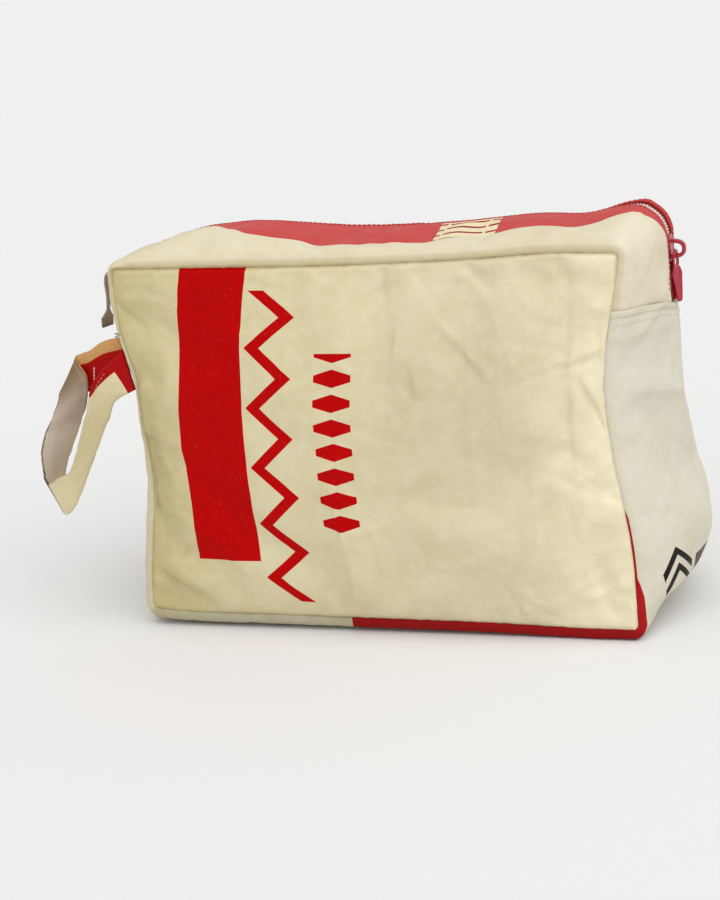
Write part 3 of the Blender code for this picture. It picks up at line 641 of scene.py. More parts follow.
def add_sheet(
    name, grid, facts, flip=False, skirt=None, lap=0.0, thickness=CLOTH_THICKNESS, offset=-1
):
    """One piece of cloth: a grid, its edges turned in by skirt metres, and its thickness.

    facts holds the values that the cloth's material reads at each point of the grid; lap is
    how far a turned-in edge reaches under its neighbour; offset is -1 for cloth that lies
    under the grid and 0 for cloth to both sides of it."""
    rows, cols = grid.shape[:2]
    ids = np.arange(rows * cols).reshape(rows, cols)
    points = [grid.reshape(-1, 3)]
    faces = [grid_faces(ids, flip)]
    sources = np.arange(rows * cols)
    if skirt is not None:
        normal = grid_normals(grid, flip).reshape(-1, 3)
        loop = np.concatenate([ids[0, :-1], ids[:-1, -1], ids[-1, :0:-1], ids[:0:-1, 0]])
        depth = np.broadcast_to(skirt, (rows, cols)).reshape(-1)[loop][:, None]
        beyond = np.zeros_like(grid)
        beyond[0] += grid[0] - grid[1]
        beyond[-1] += grid[-1] - grid[-2]
        beyond[:, 0] += grid[:, 0] - grid[:, 1]
        beyond[:, -1] += grid[:, -1] - grid[:, -2]
        beyond = unit(beyond) * np.broadcast_to(lap, (rows, cols))[..., None]
        beyond = beyond.reshape(-1, 3)[loop]
        ring = loop
        for share in (0.3, 1.0):
            places = points[0][loop] - normal[loop] * depth * share + beyond * math.sqrt(share)
            new = len(sources) + np.arange(len(loop))
            after, new_after = np.roll(ring, -1), np.roll(new, -1)
            order = (ring, after, new_after, new) if flip else (after, ring, new, new_after)
            faces.append(np.stack(order, -1))
            points.append(places)
            sources = np.concatenate([sources, loop])
            ring = new
    piece = new_piece(name, np.vstack(points), np.vstack(faces).tolist())
    for fact, values in facts.items():
        values = np.broadcast_to(values, (rows, cols, *np.shape(values)[2:]))
        kind, slot = ("FLOAT_VECTOR", "vector") if values.ndim == 3 else ("FLOAT", "value")
        store = piece.data.attributes.new(fact, kind, "POINT")
        flat = values.reshape(rows * cols, -1)[sources].astype(np.float32).ravel()
        store.data.foreach_set(slot, flat)
    solidify = piece.modifiers.new("thickness", "SOLIDIFY")
    solidify.thickness = thickness
    solidify.offset = offset
    return piece


class Value:
    """What a node gives out, to be reckoned with like a number; each step adds a node."""

    def __init__(self, surface, socket):
        self.surface = surface
        self.socket = socket

    def __add__(self, other):
        return self.surface.math("ADD", self, other)

    def __sub__(self, other):
        return self.surface.math("SUBTRACT", self, other)

    def __rsub__(self, other):
        return self.surface.math("SUBTRACT", other, self)

    def __mul__(self, other):
        return self.surface.math("MULTIPLY", self, other)

    def __pow__(self, power):
        return self.surface.math("POWER", self, power)

    def __abs__(self):
        return self.surface.math("ABSOLUTE", self)

    def least(self, other):
        return self.surface.math("MINIMUM", self, other)

    def most(self, other):
        return self.surface.math("MAXIMUM", self, other)

    def to_and_fro(self, reach):
        """Rises from 0 to reach and falls back, over and over."""
        return self.surface.math("PINGPONG", self, reach)

    def waves(self, half_wave):
        """A sine along the value, -1 to 1."""
        return self.surface.math("SINE", self * (math.pi / half_wave))


class Surface:
    """A Principled material, with short calls for the nodes that feed it."""

    def __init__(self, name, **sockets):
        self.material = bpy.data.materials.new(name)
        self.material.use_nodes = True
        self.tree = self.material.node_tree
        self.shader = self.tree.nodes["Principled BSDF"]
        self.colour = None
        for socket, value in sockets.items():
            self.shader.inputs[socket.replace("_", " ")].default_value = value

    def feed(self, socket, value):
        """Link an output to a socket, or set the socket's value."""
        if isinstance(value, Value):
            self.tree.links.new(value.socket, socket)
        elif isinstance(value, tuple) and socket.type == "RGBA":
            socket.default_value = (*value, 1.0)
        else:
            socket.default_value = value

    def into(self, socket, value):
        self.feed(self.shader.inputs[socket], value)

    def node(self, kind, output, feeds=(), **settings):
        """A node of a kind with its settings and what feeds its inputs; its output."""
        node = self.tree.nodes.new("ShaderNode" + kind)
        for setting, value in settings.items():
            setattr(node, setting, value)
        for socket, value in dict(feeds).items():
            self.feed(node.inputs[socket], value)
        return Value(self, node.outputs[output])

    def number(self, name):
        """A number kept at the piece's points."""
        return self.node("Attribute", "Fac", attribute_name=name)

    def vector(self, name):
        """A vector kept at the piece's points."""
        return self.node("Attribute", "Vector", attribute_name=name)

    def place(self):
        """Metres in the piece's own axes."""
        return self.node("TexCoord", "Object")

    def split(self, vector):
        return [self.node("SeparateXYZ", axis, {0: vector}) for axis in range(3)]

    def math(self, operation, *values, clamp=False):
        return self.node("Math", 0, enumerate(values), operation=operation, use_clamp=clamp)

    def mix(self, share, first, second, blend="MIX"):
        """Colour mix: share 0 is first, 1 is second."""
        feeds = {"Factor": share, 6: first, 7: second}
        return self.node("Mix", 2, feeds, data_type="RGBA", blend_type=blend)

    def lay(self, share, colour, blend="MIX"):
        """Lay a colour over the surface's own where share is 1."""
        self.colour = self.mix(share, self.colour, colour, blend)

    def noise(self, vector, scale, detail=3.0, roughness=0.55, stretch=None):
        if stretch:
            vector = self.node("Mapping", 0, {"Vector": vector, "Scale": stretch})
        feeds = {"Vector": vector, "Scale": scale, "Detail": detail, "Roughness": roughness}
        return self.node("TexNoise", "Fac", feeds)

    def spread(self, value, low, high, new_low=0.0, new_high=1.0):
        return self.node("MapRange", 0, enumerate((value, low, high, new_low, new_high)))

    def bump(self, height, distance, strength=1.0, under=None):
        feeds = {"Strength": strength, "Distance": distance, "Height": height}
        if under is not None:
            feeds["Normal"] = under
        return self.node("Bump", 0, feeds)

    def inside(self, *distances, blur=0.15 * MM):
        """1 where every distance is above 0, with a soft edge."""
        nearest = distances[0]
        for distance in distances[1:]:
            nearest = nearest.least(distance)
        return self.math("MULTIPLY_ADD", nearest, 1 / blur, 0.5, clamp=True)

    def box(self, u, v, low_u, high_u, low_v, high_v):
        return self.inside(u - low_u, high_u - u, v - low_v, high_v - v)


def linear(*colour):
    """A colour given as it looks on a screen, 0 to 255, for a shader."""
    return tuple(((channel / 255 + 0.055) / 1.055) ** 2.4 for channel in colour)


CREAM = linear(220, 209, 172)
CREAM_PALE = linear(230, 221, 192)
CREAM_DEEP = linear(208, 194, 152)
CLOTH_THREAD = 2.2 * MM


def sack_cloth(name, cloth=CREAM, pale=CREAM_PALE, deep=CREAM_DEEP):
    """Laminated woven sack cloth; its print is laid over the colour that it has here."""
    surface = Surface(name, Roughness=0.42, IOR=1.45, Specular_IOR_Level=0.05)
    u, v, _ = surface.split(surface.vector("rest"))
    place = surface.place()
    clouds = surface.spread(surface.noise(place, 26, 3, 0.5), 0.30, 0.60, 0.35, 1.0)
    fine = surface.spread(surface.noise(place, 120, 4, 0.6), 0.45, 0.75, 0.0, 0.5)
    surface.colour = surface.mix(clouds, deep, cloth)
    surface.lay(fine, pale)
    warp = u.waves(CLOTH_THREAD)
    weft = v.waves(CLOTH_THREAD)
    gaps = abs(warp).least(abs(weft)) ** 0.35
    creases = (1.0 - abs(surface.noise(place, 55, 5, 0.6) - 0.5)) ** 6.0
    creased = surface.bump(creases, 0.5 * MM, 0.55)
    surface.into("Normal", surface.bump(warp * weft * 0.3 + gaps, 0.06 * MM, 0.45, creased))
    rough = surface.noise(place, 60, 4, 0.6)
    surface.into("Roughness", surface.spread(rough, 0.3, 0.7, 0.34, 0.52))
    surface.lay((1.0 - gaps) * 0.20, deep)
    return surface


def finish_cloth(surface):
    """Paint shade into the cloth's seam grooves and darken it a little further beside them, then
    colour it.
    """
    edge = surface.number("edge")
    # painted shade within 1.2 mm of a seam or edge fold
    near = surface.spread(edge, 0.0, 1.2 * MM, 0.22, 0.0)
    wide = surface.spread(edge, 0.0, 7 * MM, 0.10, 0.0)
    surface.lay(near.most(wide), (0.70, 0.62, 0.50), "MULTIPLY")
    surface.into("Base Color", surface.colour)
    return surface.material


SEAM_WIDTH = 1.1 * MM
SKIRT = 3 * MM      # how far a sheet's edge is turned in
LAP = 0.9 * MM      # how far it reaches under its neighbour


def frill(along, seed, away, height, reach):
    """Small puckers along a seam, none on the seam itself; away is the distance to it."""
    return height * ripple(along, seed) * np.exp(-away / reach) * (1 - np.exp(-away / MM))


def inner_part(distance):
    """0 at a seam and 1 a few millimetres away from it."""
    return 1 - hump(distance, 0, 2 * MM)


# Front and back panels. A crease is its start and end in mm, its height and width in mm
# before the two factors, and its kind
CREASE_SIZE = 2.1
CREASE_WIDTH = 0.75
FRONT_CREASES = (
    ((13.5, 198.5), (13, 178), -0.9, 3.0, "ridge"),
    ((19, 163), (17, 148), 0.6, 2.0, "step"),
    ((27, 143), (29, 130.5), 0.6, 2.0, "step"),
    ((23, 135.5), (26.5, 129.5), -0.5, 1.8, "ridge"),
    ((43.5, 163), (66.5, 138.5), 0.7, 3.0, "step"),
    ((54.5, 195), (67.5, 182), -0.9, 4.0, "step"),
    ((101, 195), (106.5, 183.5), -0.9, 3.0, "step"),
    ((112, 198), (112, 97), 0.9, 6.0, "step"),
    ((123.5, 171.5), (132.5, 170.5), 0.8, 2.0, "ridge"),
    ((127.5, 165.5), (130.5, 151), -0.8, 2.5, "ridge"),
    ((105.5, 145), (115.5, 144), 0.6, 2.0, "ridge"),
    ((115.5, 145), (132, 149.5), 0.8, 2.2, "step"),
    ((120, 136), (131, 121), 0.9, 3.5, "step"),
    ((128.5, 122), (134, 109.5), -0.8, 2.0, "ridge"),
    ((-18, 81.5), (-12.5, 43), 0.55, 1.8, "ridge"),
    ((-12.5, 43), (-11, 13.5), 0.55, 1.8, "ridge"),
    ((1, 65.5), (6, 37.5), 0.5, 1.8, "ridge"),
    ((58, 170), (58, 60), 0.35, 4.0, "ridge"),
    ((89, 180), (89, 50), 0.35, 4.0, "ridge"),
    ((113, 39), (121, 11.5), -1.0, 4.0, "step"),
    ((-134.5, 180), (-121.5, 166.5), -1.3, 4.0, "ridge"),
    ((-134, 137), (-129.5, 61), 0.9, 3.0, "step"),
    ((-134, 72), (-125.5, 61.5), -0.8, 2.5, "ridge"),
    ((-126, 32.5), (-104, 19), 0.9, 4.0, "step"),
    ((-20, 198), (-23, 176), -0.6, 3.5, "step"),
    ((-75, 10), (-70, 34), 0.5, 3.0, "step"),
    ((40, 6), (44, 30), 0.5, 3.0, "step"),
    ((78, 8), (72, 26), -0.5, 3.0, "step"),
)


def panel_grid(ids, side, seed, creases):
    """A panel's refined grid with its seams, creases and fine folds, and its rest places."""
    grid = refine_both(shell_points[ids])
    plane_x, plane_z = panel_plane()
    u = refine_both(plane_x[..., None])[..., 0]
    v = refine_both(plane_z[..., None])[..., 0]
    past_x = abs(u) - INNER_X
    past_z = abs(v - PANEL_MIDDLE) - INNER_Z
    out = np.hypot(np.maximum(past_x, 0), np.maximum(past_z, 0))
    edge = CORNER_RADIUS - np.where((past_x > 0) | (past_z > 0), out, np.maximum(past_x, past_z))
    edge = np.maximum(edge, 0.0)
    height = np.zeros_like(u)
    for start, end, size, width, kind in creases:
        height += crease(u, v, start, end, CREASE_SIZE * size, CREASE_WIDTH * width, kind)
    height += crumple(u, v, seed, 110, (-130, 8, 130, 196), 0.65)
    height += crumple(u, v, seed + 7, 45, (-132, 8, -105, 196), 0.75)
    height += crumple(u, v, seed + 8, 35, (108, 8, 132, 196), 0.65)
    height *= inner_part(edge)
    height -= seam_depth(grid[..., 2]) * hump(edge, 0, SEAM_WIDTH)
    height += frill(np.where(past_x > past_z, v, u), seed + 1, edge, 0.22 * MM, 6 * MM)
    normals = grid_normals(grid, flip=side > 0)
    seam_line = grid - side * ACROSS * seam_depth(grid[..., 2:])
    grid = grid + normals * height[..., None]
    for part in (np.s_[0], np.s_[-1], np.s_[:, 0], np.s_[:, -1]):
        grid[part] = seam_line[part]
    return grid, u, v, edge


BAR_HEIGHTS = np.array((35, 41, 62.5, 84.5, 100.5, 122, 153.5, 195.5, 200)) * MM
BAR_LEFT = np.array((-101, -101, -102.5, -104.5, -106.5, -105.5, -101, -96.5, -96.5)) * MM
BAR_RIGHT = np.array((-63, -63, -64, -65, -65.3, -66, -64, -59.5, -59.5)) * MM
BAR_LEFT_EDGE = -0.100
BAR_RIGHT_EDGE = -0.063

front_grid, front_u, front_v, front_edge = panel_grid(front_ids, -1, 11, FRONT_CREASES)
left_line = np.interp(front_v, BAR_HEIGHTS, BAR_LEFT)
right_line = np.interp(front_v, BAR_HEIGHTS, BAR_RIGHT)
share = (front_u - left_line) / (right_line - left_line)
print_u = np.where(
    share < 0, front_u - left_line + BAR_LEFT_EDGE,
    np.where(share > 1, front_u - right_line + BAR_RIGHT_EDGE,
             BAR_LEFT_EDGE + share * (BAR_RIGHT_EDGE - BAR_LEFT_EDGE)),
)
# Painted light and shade on the front: how light its red, green and blue are along its length
FRONT_LIGHT_AND_SHADE_PLACES = np.array((-135, -118, -98, -60, 0, 40, 70, 95, 115, 135)) * MM
FRONT_LIGHT_AND_SHADE = np.array((
    (0.83, 0.81, 0.66), (0.86, 0.84, 0.72), (0.94, 0.93, 0.87), (0.99, 0.99, 0.98),
    (1.01, 1.01, 1.02), (1.01, 1.01, 1.05), (1.00, 1.00, 1.06), (1.05, 1.06, 1.13),
    (1.15, 1.17, 1.28), (1.21, 1.24, 1.37),
))
# Painted shade in two soft spots and a faint painted highlight high in the middle
fade = 1 - 0.09 * hump(front_u, 0.055, 0.055) * hump(front_v, 0.118, 0.035)
fade *= 1 - 0.13 * smooth_step(-front_u, 0.098, 0.125) * hump(front_v, 0.105, 0.040)
fade *= 1 + 0.03 * hump(front_u, 0.01, 0.06) * smooth_step(front_v, 0.14, 0.18)
front_facts = {
    "light_and_shade": values_at(front_u, FRONT_LIGHT_AND_SHADE_PLACES, FRONT_LIGHT_AND_SHADE) * fade[..., None],
    "rest": flat_places(front_u, front_v),
    "print": flat_places(print_u, front_v),
    "edge": front_edge,
}
front = add_sheet("cloth_front", front_grid, front_facts, skirt=SKIRT, lap=LAP)

back_grid, back_u, back_v, back_edge = panel_grid(back_ids, 1, 31, ())
back_facts = {"rest": flat_places(back_u, back_v), "edge": back_edge}
back = add_sheet("cloth_back", back_grid, back_facts, flip=True, skirt=SKIRT, lap=LAP)

# The front's print: a bar, a zigzag line and a row of hexagons, in metres on the flat cloth
BAR_LOW = 0.0405
ZIGZAG_U = -0.0475
ZIGZAG_LOW, ZIGZAG_HIGH = 0.0155, 0.186
ZIGZAG_WIDE = 0.0084
ROW_U = -0.0125
ROW_LOW, ROW_HIGH = 0.060, 0.152
ROW_HALF = 0.0098
ROW_STEP = 0.0125
surface = sack_cloth("printed_cloth_front")
# painted light and shade laid over the front
surface.lay(1.0, surface.vector("light_and_shade"), "MULTIPLY")
pu, pv, _ = surface.split(surface.vector("print"))
bar = surface.box(pu, pv, BAR_LEFT_EDGE, BAR_RIGHT_EDGE, BAR_LOW, PANEL_HIGH + 0.05)
zigzag = pu - ZIGZAG_U - (pv.to_and_fro(0.0155) * 1.15 - 0.0089)
zigzag = surface.inside(ZIGZAG_WIDE / 2 - abs(zigzag), pv - ZIGZAG_LOW, ZIGZAG_HIGH - pv)
row_u = abs(pu - ROW_U)
row_v = abs((pv - 0.052).to_and_fro(ROW_STEP) - ROW_STEP / 2)
gap = row_u * 0.3 + 0.0016
row = surface.inside(ROW_HALF - row_u, row_v - gap, pv - ROW_LOW, ROW_HIGH - pv)
printed = bar.most(zigzag.most(row))
wear = surface.spread(surface.noise(surface.place(), 500, 3, 0.6), 0.22, 0.40, 0.97, 1.0)
red = surface.mix(surface.noise(surface.place(), 30, 3), linear(180, 0, 0), linear(188, 2, 2))
surface.lay(printed * wear, red)
front.data.materials.append(finish_cloth(surface))
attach(front, "bag")
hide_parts("front_panel")

back.data.materials.append(finish_cloth(sack_cloth("plain_cloth_back")))
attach(back, "bag")
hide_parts("back_panel")

# The band: base with both ends, and the two top strips
zip_grid = refine_both(shell_points[closed_ids])
SEAM_RISE_DEPTHS = np.array((-60.0, -45.5, -25, -10, 0, 60)) * MM
SEAM_RISE = np.array((8.2, 7.8, 5.6, 2.2, 0, 0)) * MM
closed_outline = np.vstack([OUTLINE, OUTLINE[:1]])
outline_x = halves(closed_outline[:, 0])
outline_z = halves(closed_outline[:, 1])
outline_length = halves(run_length(closed_outline[:, :2]))
section_depth = halves(SECTION_DEPTH)
section_length = run_length(np.stack([section_depth, halves(SECTION_INSET)], 1))
section_edge = np.minimum(section_length, section_length[-1] - section_length)
# Slide the rows near the right end seam along the band, so that its cut rises to the front
seam_rise = np.interp(section_depth, SEAM_RISE_DEPTHS, SEAM_RISE)
near_seam = hump(outline_length, outline_length[2 * RIGHT_SEAM], 0.020)
slid_length = outline_length[:, None] + seam_rise * near_seam[:, None]
columns = range(len(section_depth))
band_grid = np.stack(
    [values_at(slid_length[:, col], outline_length, zip_grid[:, col]) for col in columns], 1
)
band_x = np.interp(slid_length, outline_length, outline_x)
band_z = np.interp(slid_length, outline_length, outline_z)

RIGHT_END_CREASES = (
    ((-53.5, 144), (-47, 139), -1.2, 3.0, "ridge"),
    ((-45, 125.5), (-6, 115), 1.0, 3.0, "step"),
    ((-39, 120), (-31, 97.5), 0.8, 3.5, "step"),
    ((-11, 159.5), (-12, 150), -0.8, 2.0, "ridge"),
    ((-50, 150), (-12, 176), 2.0, 3.2, "step"),
    ((-52, 190), (-44, 168), -1.2, 2.4, "ridge"),
    ((-50, 178), (-30, 192), 0.8, 2.4, "step"),
    ((-20, 100), (5, 80), 0.6, 3.0, "step"),
    ((20, 130), (10, 90), 0.7, 3.0, "step"),
    ((-48, 60), (-30, 80), 0.6, 3.0, "ridge"),
)

# The edge of the red print: places along the piece and how far across it the red reaches
TOP_RED = np.array((
    (-0.128, 0.004), (-0.110, -0.004), (-0.1005, -0.009), (-0.0835, -0.0215), (-0.0655, -0.0375),
    (-0.0505, -0.042), (-0.0275, -0.0455), (0.0, -0.049), (0.0415, -0.0465), (0.069, -0.0433),
    (0.1065, -0.0395), (0.120, -0.0345), (0.128, -0.0275), (0.132, -0.0235),
))
END_RED = np.array((
    (0.160, -0.0070), (0.180, -0.0082), (0.189, -0.0120), (0.1955, -0.0165), (0.201, -0.0215),
))
LOW_RED = np.array((
    (0.0, 0.0056), (0.008, 0.0048), (0.024, 0.0038), (0.030, 0.0026), (0.034, 0.0014),
    (0.066, 0.0012), (0.074, -0.001),
))
RED = 0.01          # well inside the red
PLAIN = -0.01       # well outside it
END_X = 0.134       # past this the band belongs to an end
RIGHT_X = 0.130
# Painted shade at the left end and painted light at the right end, in red, green and blue: darker,
# then lighter
BASE_LIGHT_AND_SHADE = np.array(((0.02, 0.055, 0.18), (0.03, 0.03, 0.03)))
STRIP_LIGHT_AND_SHADE = np.array(((0.02, 0.03, 0.08), (0.06, 0.08, 0.15)))
HEM_LINES = (0.0030, 0.0127)


def red_edge(x, w, z, seam):
    """Metres inside the base band's red edge, below 0 outside it."""
    right = np.interp(z, *LOW_RED.T) - seam
    bottom = np.minimum(0.0085 - seam, x + 0.0168)
    inside = np.where(x > END_X, right, np.where(z < 0.004, bottom, PLAIN))
    return np.where(w < 0, inside, PLAIN)


def red_top_edge(x, w, z):
    """Metres inside the red band beside the zip, below 0 outside it."""
    on_top = w - np.interp(x, *TOP_RED.T)
    on_top = np.where(w < 0, on_top, np.where(x > -0.105, RED, PLAIN))
    on_end = -abs(w) - np.interp(z, *END_RED.T)
    return np.where(x > END_X, on_end, np.where(x < -END_X, PLAIN, on_top))


def band_piece(name, first, last, columns, seed, opening=None):
    """Part of the band as a sheet, with its grid; opening is the depth of its edge at the zip."""
    rows = slice(2 * first, 2 * last + 1)
    cols = slice(*columns)
    grid = band_grid[rows, cols]
    s, w = np.meshgrid(outline_length[rows], section_depth[cols], indexing="ij")
    x = band_x[rows, cols]
    z = band_z[rows, cols]
    seam = section_edge[cols] + 0 * s
    ends = np.minimum(s - s[0, 0], s[-1, 0] - s)
    fold = np.ones_like(w) if opening is None else abs(w - opening)
    at_right = x > RIGHT_X
    height = -0.3 * MM * hump(fold, 0, 0.8 * MM)
    height += frill(s, seed, seam, 0.22 * MM, 5 * MM)
    height += frill(w, seed + 2, ends, 0.2 * MM, 5 * MM)
    fine = crumple(s, w, seed + 3, int(len(s) / 5), (s[0, 0] / MM, -54, s[-1, 0] / MM, 54), 0.30)
    for start, end, size, width, kind in RIGHT_END_CREASES:
        line = crease(w, z, start, end, size, width, kind)
        fine += np.where(at_right & (z > 0.003), line, 0.0)
    height += fine * inner_part(seam) * inner_part(ends)
    if opening is not None:
        # the seam allowances under the cloth: a low welt beside the panel seam
        height += 0.45 * MM * hump(seam, 4.2 * MM, 1.2 * MM) * smooth_step(ends, 0.004, 0.012)
    else:
        # the turned-up hem under the right end seam, with a second low line
        hem = 1 - smooth_step(ends, 0.0122, 0.0130) - hump(ends, HEM_LINES[0], 0.0007)
        height += np.where(at_right & (w < 0.02), 0.60 * MM * hem, 0.0)
    height -= seam_depth(grid[..., 2]) * hump(seam, 0, SEAM_WIDTH)
    height -= 0.35 * MM * hump(ends, 0, SEAM_WIDTH)
    height *= np.where(z > 0.0005, 1.0, 0.3)
    front_line = grid[:, 0] + ACROSS * seam_depth(grid[:, 0, 2:])
    back_line = grid[:, -1] - ACROSS * seam_depth(grid[:, -1, 2:])
    grid = grid + grid_normals(grid) * height[..., None]
    if columns[0] == 0:
        grid[:, 0] = front_line
    if columns[1] == len(section_depth):
        grid[:, -1] = back_line
    grid[..., 2] = np.maximum(grid[..., 2], 0.0)
    to_hem = np.minimum(abs(ends - HEM_LINES[0]), abs(ends - HEM_LINES[1]))
    # painted shade on the left end and painted light on the right end
    darker, lighter = BASE_LIGHT_AND_SHADE if opening is None else STRIP_LIGHT_AND_SHADE
    left_end = smooth_step(-x, 0.100, 0.136)[..., None]
    right_end = smooth_step(x, 0.126, 0.136)[..., None]
    facts = {
        "rest": flat_places(s, w),
        "print": np.stack([x, w, z], -1),
        "edge": np.minimum(np.minimum(seam, ends), fold),
        "seam": seam + np.where(w < 0, 0.0, 1.0),
        "hem": np.where(at_right & (w < 0.045), to_hem, 1.0),
        "light_and_shade": 1 - left_end * darker + right_end * lighter,
        "red": red_edge(x, w, z, seam) if opening is None else red_top_edge(x, w, z),
    }
    at_zip = fold < 1e-6
    skirt = np.where(at_zip, SKIRT / 2, SKIRT)
    return add_sheet(name, grid, facts, skirt=skirt, lap=np.where(at_zip, 0.0, LAP)), grid


def depth_column(depth):
    """The column of the band's grid nearest to a depth."""
    return int(np.argmin(abs(section_depth - depth)))


front_opening = depth_column(-half_opening)
back_opening = depth_column(half_opening)
all_columns = len(section_depth)
base, base_grid = band_piece("cloth_base", 0, RIGHT_SEAM, (0, all_columns), 51)
strip_front, strip_front_grid = band_piece(
    "cloth_strip_front", RIGHT_SEAM, len(OUTLINE), (0, front_opening + 1), 61, -half_opening
)
strip_back, strip_back_grid = band_piece(
    "cloth_strip_back", RIGHT_SEAM, len(OUTLINE), (back_opening, all_columns), 71, half_opening
)

# Two dark chevrons and a grey patch are printed low on the right end, all a little aslant
MARK_SLANT = 0.35
MARK_W = -0.0245
MARK_HALF = 0.0125
MARK_PEAK = 0.0445
MARK_STEP = 0.0095
MARK_THICK = 0.0048
GREY_PATCH = (-0.0075, 0.0155, 0.0190, 0.0335)
surface = sack_cloth(
    "cloth_band", linear(216, 211, 192), linear(224, 219, 203), linear(205, 199, 174)
)
x, w, z = surface.split(surface.vector("print"))
# painted light and shade laid over the band
surface.lay(1.0, surface.vector("light_and_shade"), "MULTIPLY")
# painted shade along the two lines of the turned-up hem on the right end
hem_shade_lines = surface.spread(surface.number("hem"), 0.15 * MM, 0.6 * MM, 0.35, 0.0)
surface.lay(hem_shade_lines, (0.62, 0.56, 0.46), "MULTIPLY")
surface.lay(surface.inside(surface.number("red")), linear(172, 30, 32))
# painted shade over the lowest 4 mm of the band, where it turns under towards the floor
surface.lay(surface.spread(z, 0.0, 0.004, 0.75, 0.0), (0.62, 0.60, 0.50), "MULTIPLY")
on_right = surface.inside(x - RIGHT_X)
slant = z * MARK_SLANT + w
beside = abs(slant - MARK_W)
roof = MARK_PEAK - z - beside
first, second = (
    surface.inside(roof - low, low + MARK_THICK - roof, MARK_HALF - beside)
    for low in (0.0, MARK_STEP)
)
surface.lay(on_right * first.most(second), linear(38, 32, 30))
surface.lay(on_right * surface.box(slant, z, *GREY_PATCH), linear(88, 76, 72))
base.data.materials.append(finish_cloth(surface))
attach(base, "bag")
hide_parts("base_band")

surface = sack_cloth(
    "cloth_top", linear(221, 211, 184), linear(229, 220, 197), linear(210, 198, 164)
)
x, w, _ = surface.split(surface.vector("print"))
# painted light and shade laid over the strips
surface.lay(1.0, surface.vector("light_and_shade"), "MULTIPLY")
# painted shade where the strip's cloth turns down into the front seam, fading out 4.2 mm from it
turned = surface.spread(surface.number("seam"), 2.6 * MM, 4.2 * MM, 0.55, 0.0)
surface.lay(turned, (0.84, 0.80, 0.60), "MULTIPLY")
red_top = surface.inside(surface.number("red"))
surface.lay(red_top, linear(196, 74, 70))
# A patch of cream bars in the red
BARS_PATCH = (0.0345, 0.0665, -0.052, -0.0125)
patch = surface.box(w * 0.06 + x, w, *BARS_PATCH)
across_bars = (w + 0.0115).to_and_fro(0.0050) - 0.0036
along_bars = (x + 0.004).to_and_fro(0.0110) - 0.0007
gaps = surface.inside(across_bars, along_bars)
patch_colour = surface.mix(gaps, linear(232, 218, 180), linear(150, 30, 36))
surface.lay(patch * red_top, patch_colour)
top_material = finish_cloth(surface)
for strip, node in ((strip_front, "zip_strip_front"), (strip_back, "zip_strip_back")):
    strip.data.materials.append(top_material)
    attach(strip, "bag")
    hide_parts(node)


# Zip: two tapes and the interlocked teeth
def band_line(depth, rows, inset):
    """A line along the band at one depth, under its surface."""
    col = int(np.clip(np.searchsorted(section_depth, depth) - 1, 0, len(section_depth) - 2))
    t = (depth - section_depth[col]) / (section_depth[col + 1] - section_depth[col])
    place = zip_grid[rows, col] * (1 - t) + zip_grid[rows, col + 1] * t
    normal = grid_normals(zip_grid)[rows]
    normal = normal[:, col] * (1 - t) + normal[:, col + 1] * t
    return place - normal * inset


zip_rows = slice(2 * RIGHT_SEAM, 2 * len(OUTLINE) + 1)
tapes = []
for name, side in (("tape_front", -1), ("tape_back", 1)):
    depths = side * np.linspace(CHAIN_WIDTH / 2 - 0.2 * MM, 0.0130, 10)
    if side < 0:
        depths = depths[::-1]
    lines = [band_line(depth, zip_rows, CHAIN_INSET - TAPE_THICKNESS / 2) for depth in depths]
    grid = np.stack(lines, 1)
    rest = flat_places(*np.meshgrid(outline_length[zip_rows], depths, indexing="ij"))
    tapes.append(add_sheet(name, grid, {"rest": rest}, thickness=TAPE_THICKNESS * 0.8))

surface = Surface("woven_tape", Roughness=0.85)
u, v, _ = surface.split(surface.vector("rest"))
knit = u.waves(0.275 * MM) * v.waves(0.45 * MM)
cloudy = surface.noise(surface.place(), 300, 3)
surface.colour = surface.mix(cloudy, linear(168, 48, 58), linear(206, 84, 92))
surface.lay(surface.spread(knit, -1, 1, 0.0, 0.35), linear(120, 26, 34))
surface.into("Base Color", surface.colour)
surface.into("Normal", surface.bump(knit, 0.12 * MM, 0.8))
for tape, node in zip(tapes, ("zip_tape_front", "zip_tape_back")):
    tape.data.materials.append(surface.material)
    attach(tape, "bag")
    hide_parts(node)


def resample(line, pitch):
    """Evenly spaced points along a line, with the directions there."""
    length = run_length(line)
    count = max(int(length[-1] / pitch), 2)
    places = values_at(np.linspace(0, length[-1], count + 1), length, line)
    return places, unit(np.gradient(places, axis=0))


def copies(name, template, faces, frames):
    """One mesh made of the same small shape at many places; frames are 4 by 3 axes and place."""
    total = len(template)
    points = np.einsum("pk,nkc->npc", np.hstack([template, np.ones((total, 1))]), frames)
    all_faces = [
        [index + total * copy for index in face] for copy in range(len(frames)) for face in faces
    ]
    piece = new_piece(name, points.reshape(-1, 3), all_faces)
    piece.data.set_sharp_from_angle(angle=math.radians(50))
    return piece


def tube(rings, sides):
    """Faces of a tube of rings with both ends closed."""
    ids = np.arange(rings * sides).reshape(rings, sides)
    around = grid_faces(np.pad(ids, ((0, 0), (0, 1)), mode="wrap"))
    return [*around.tolist(), ids[0, ::-1].tolist(), ids[-1].tolist()]


chain_line = band_line(0.0, zip_rows, CHAIN_INSET)
chain_line = chain_line[int(np.argmax(chain_line[:, 2] > SLIDER_HEIGHT - 0.001)):]
TOOTH_PITCH = 0.78 * MM
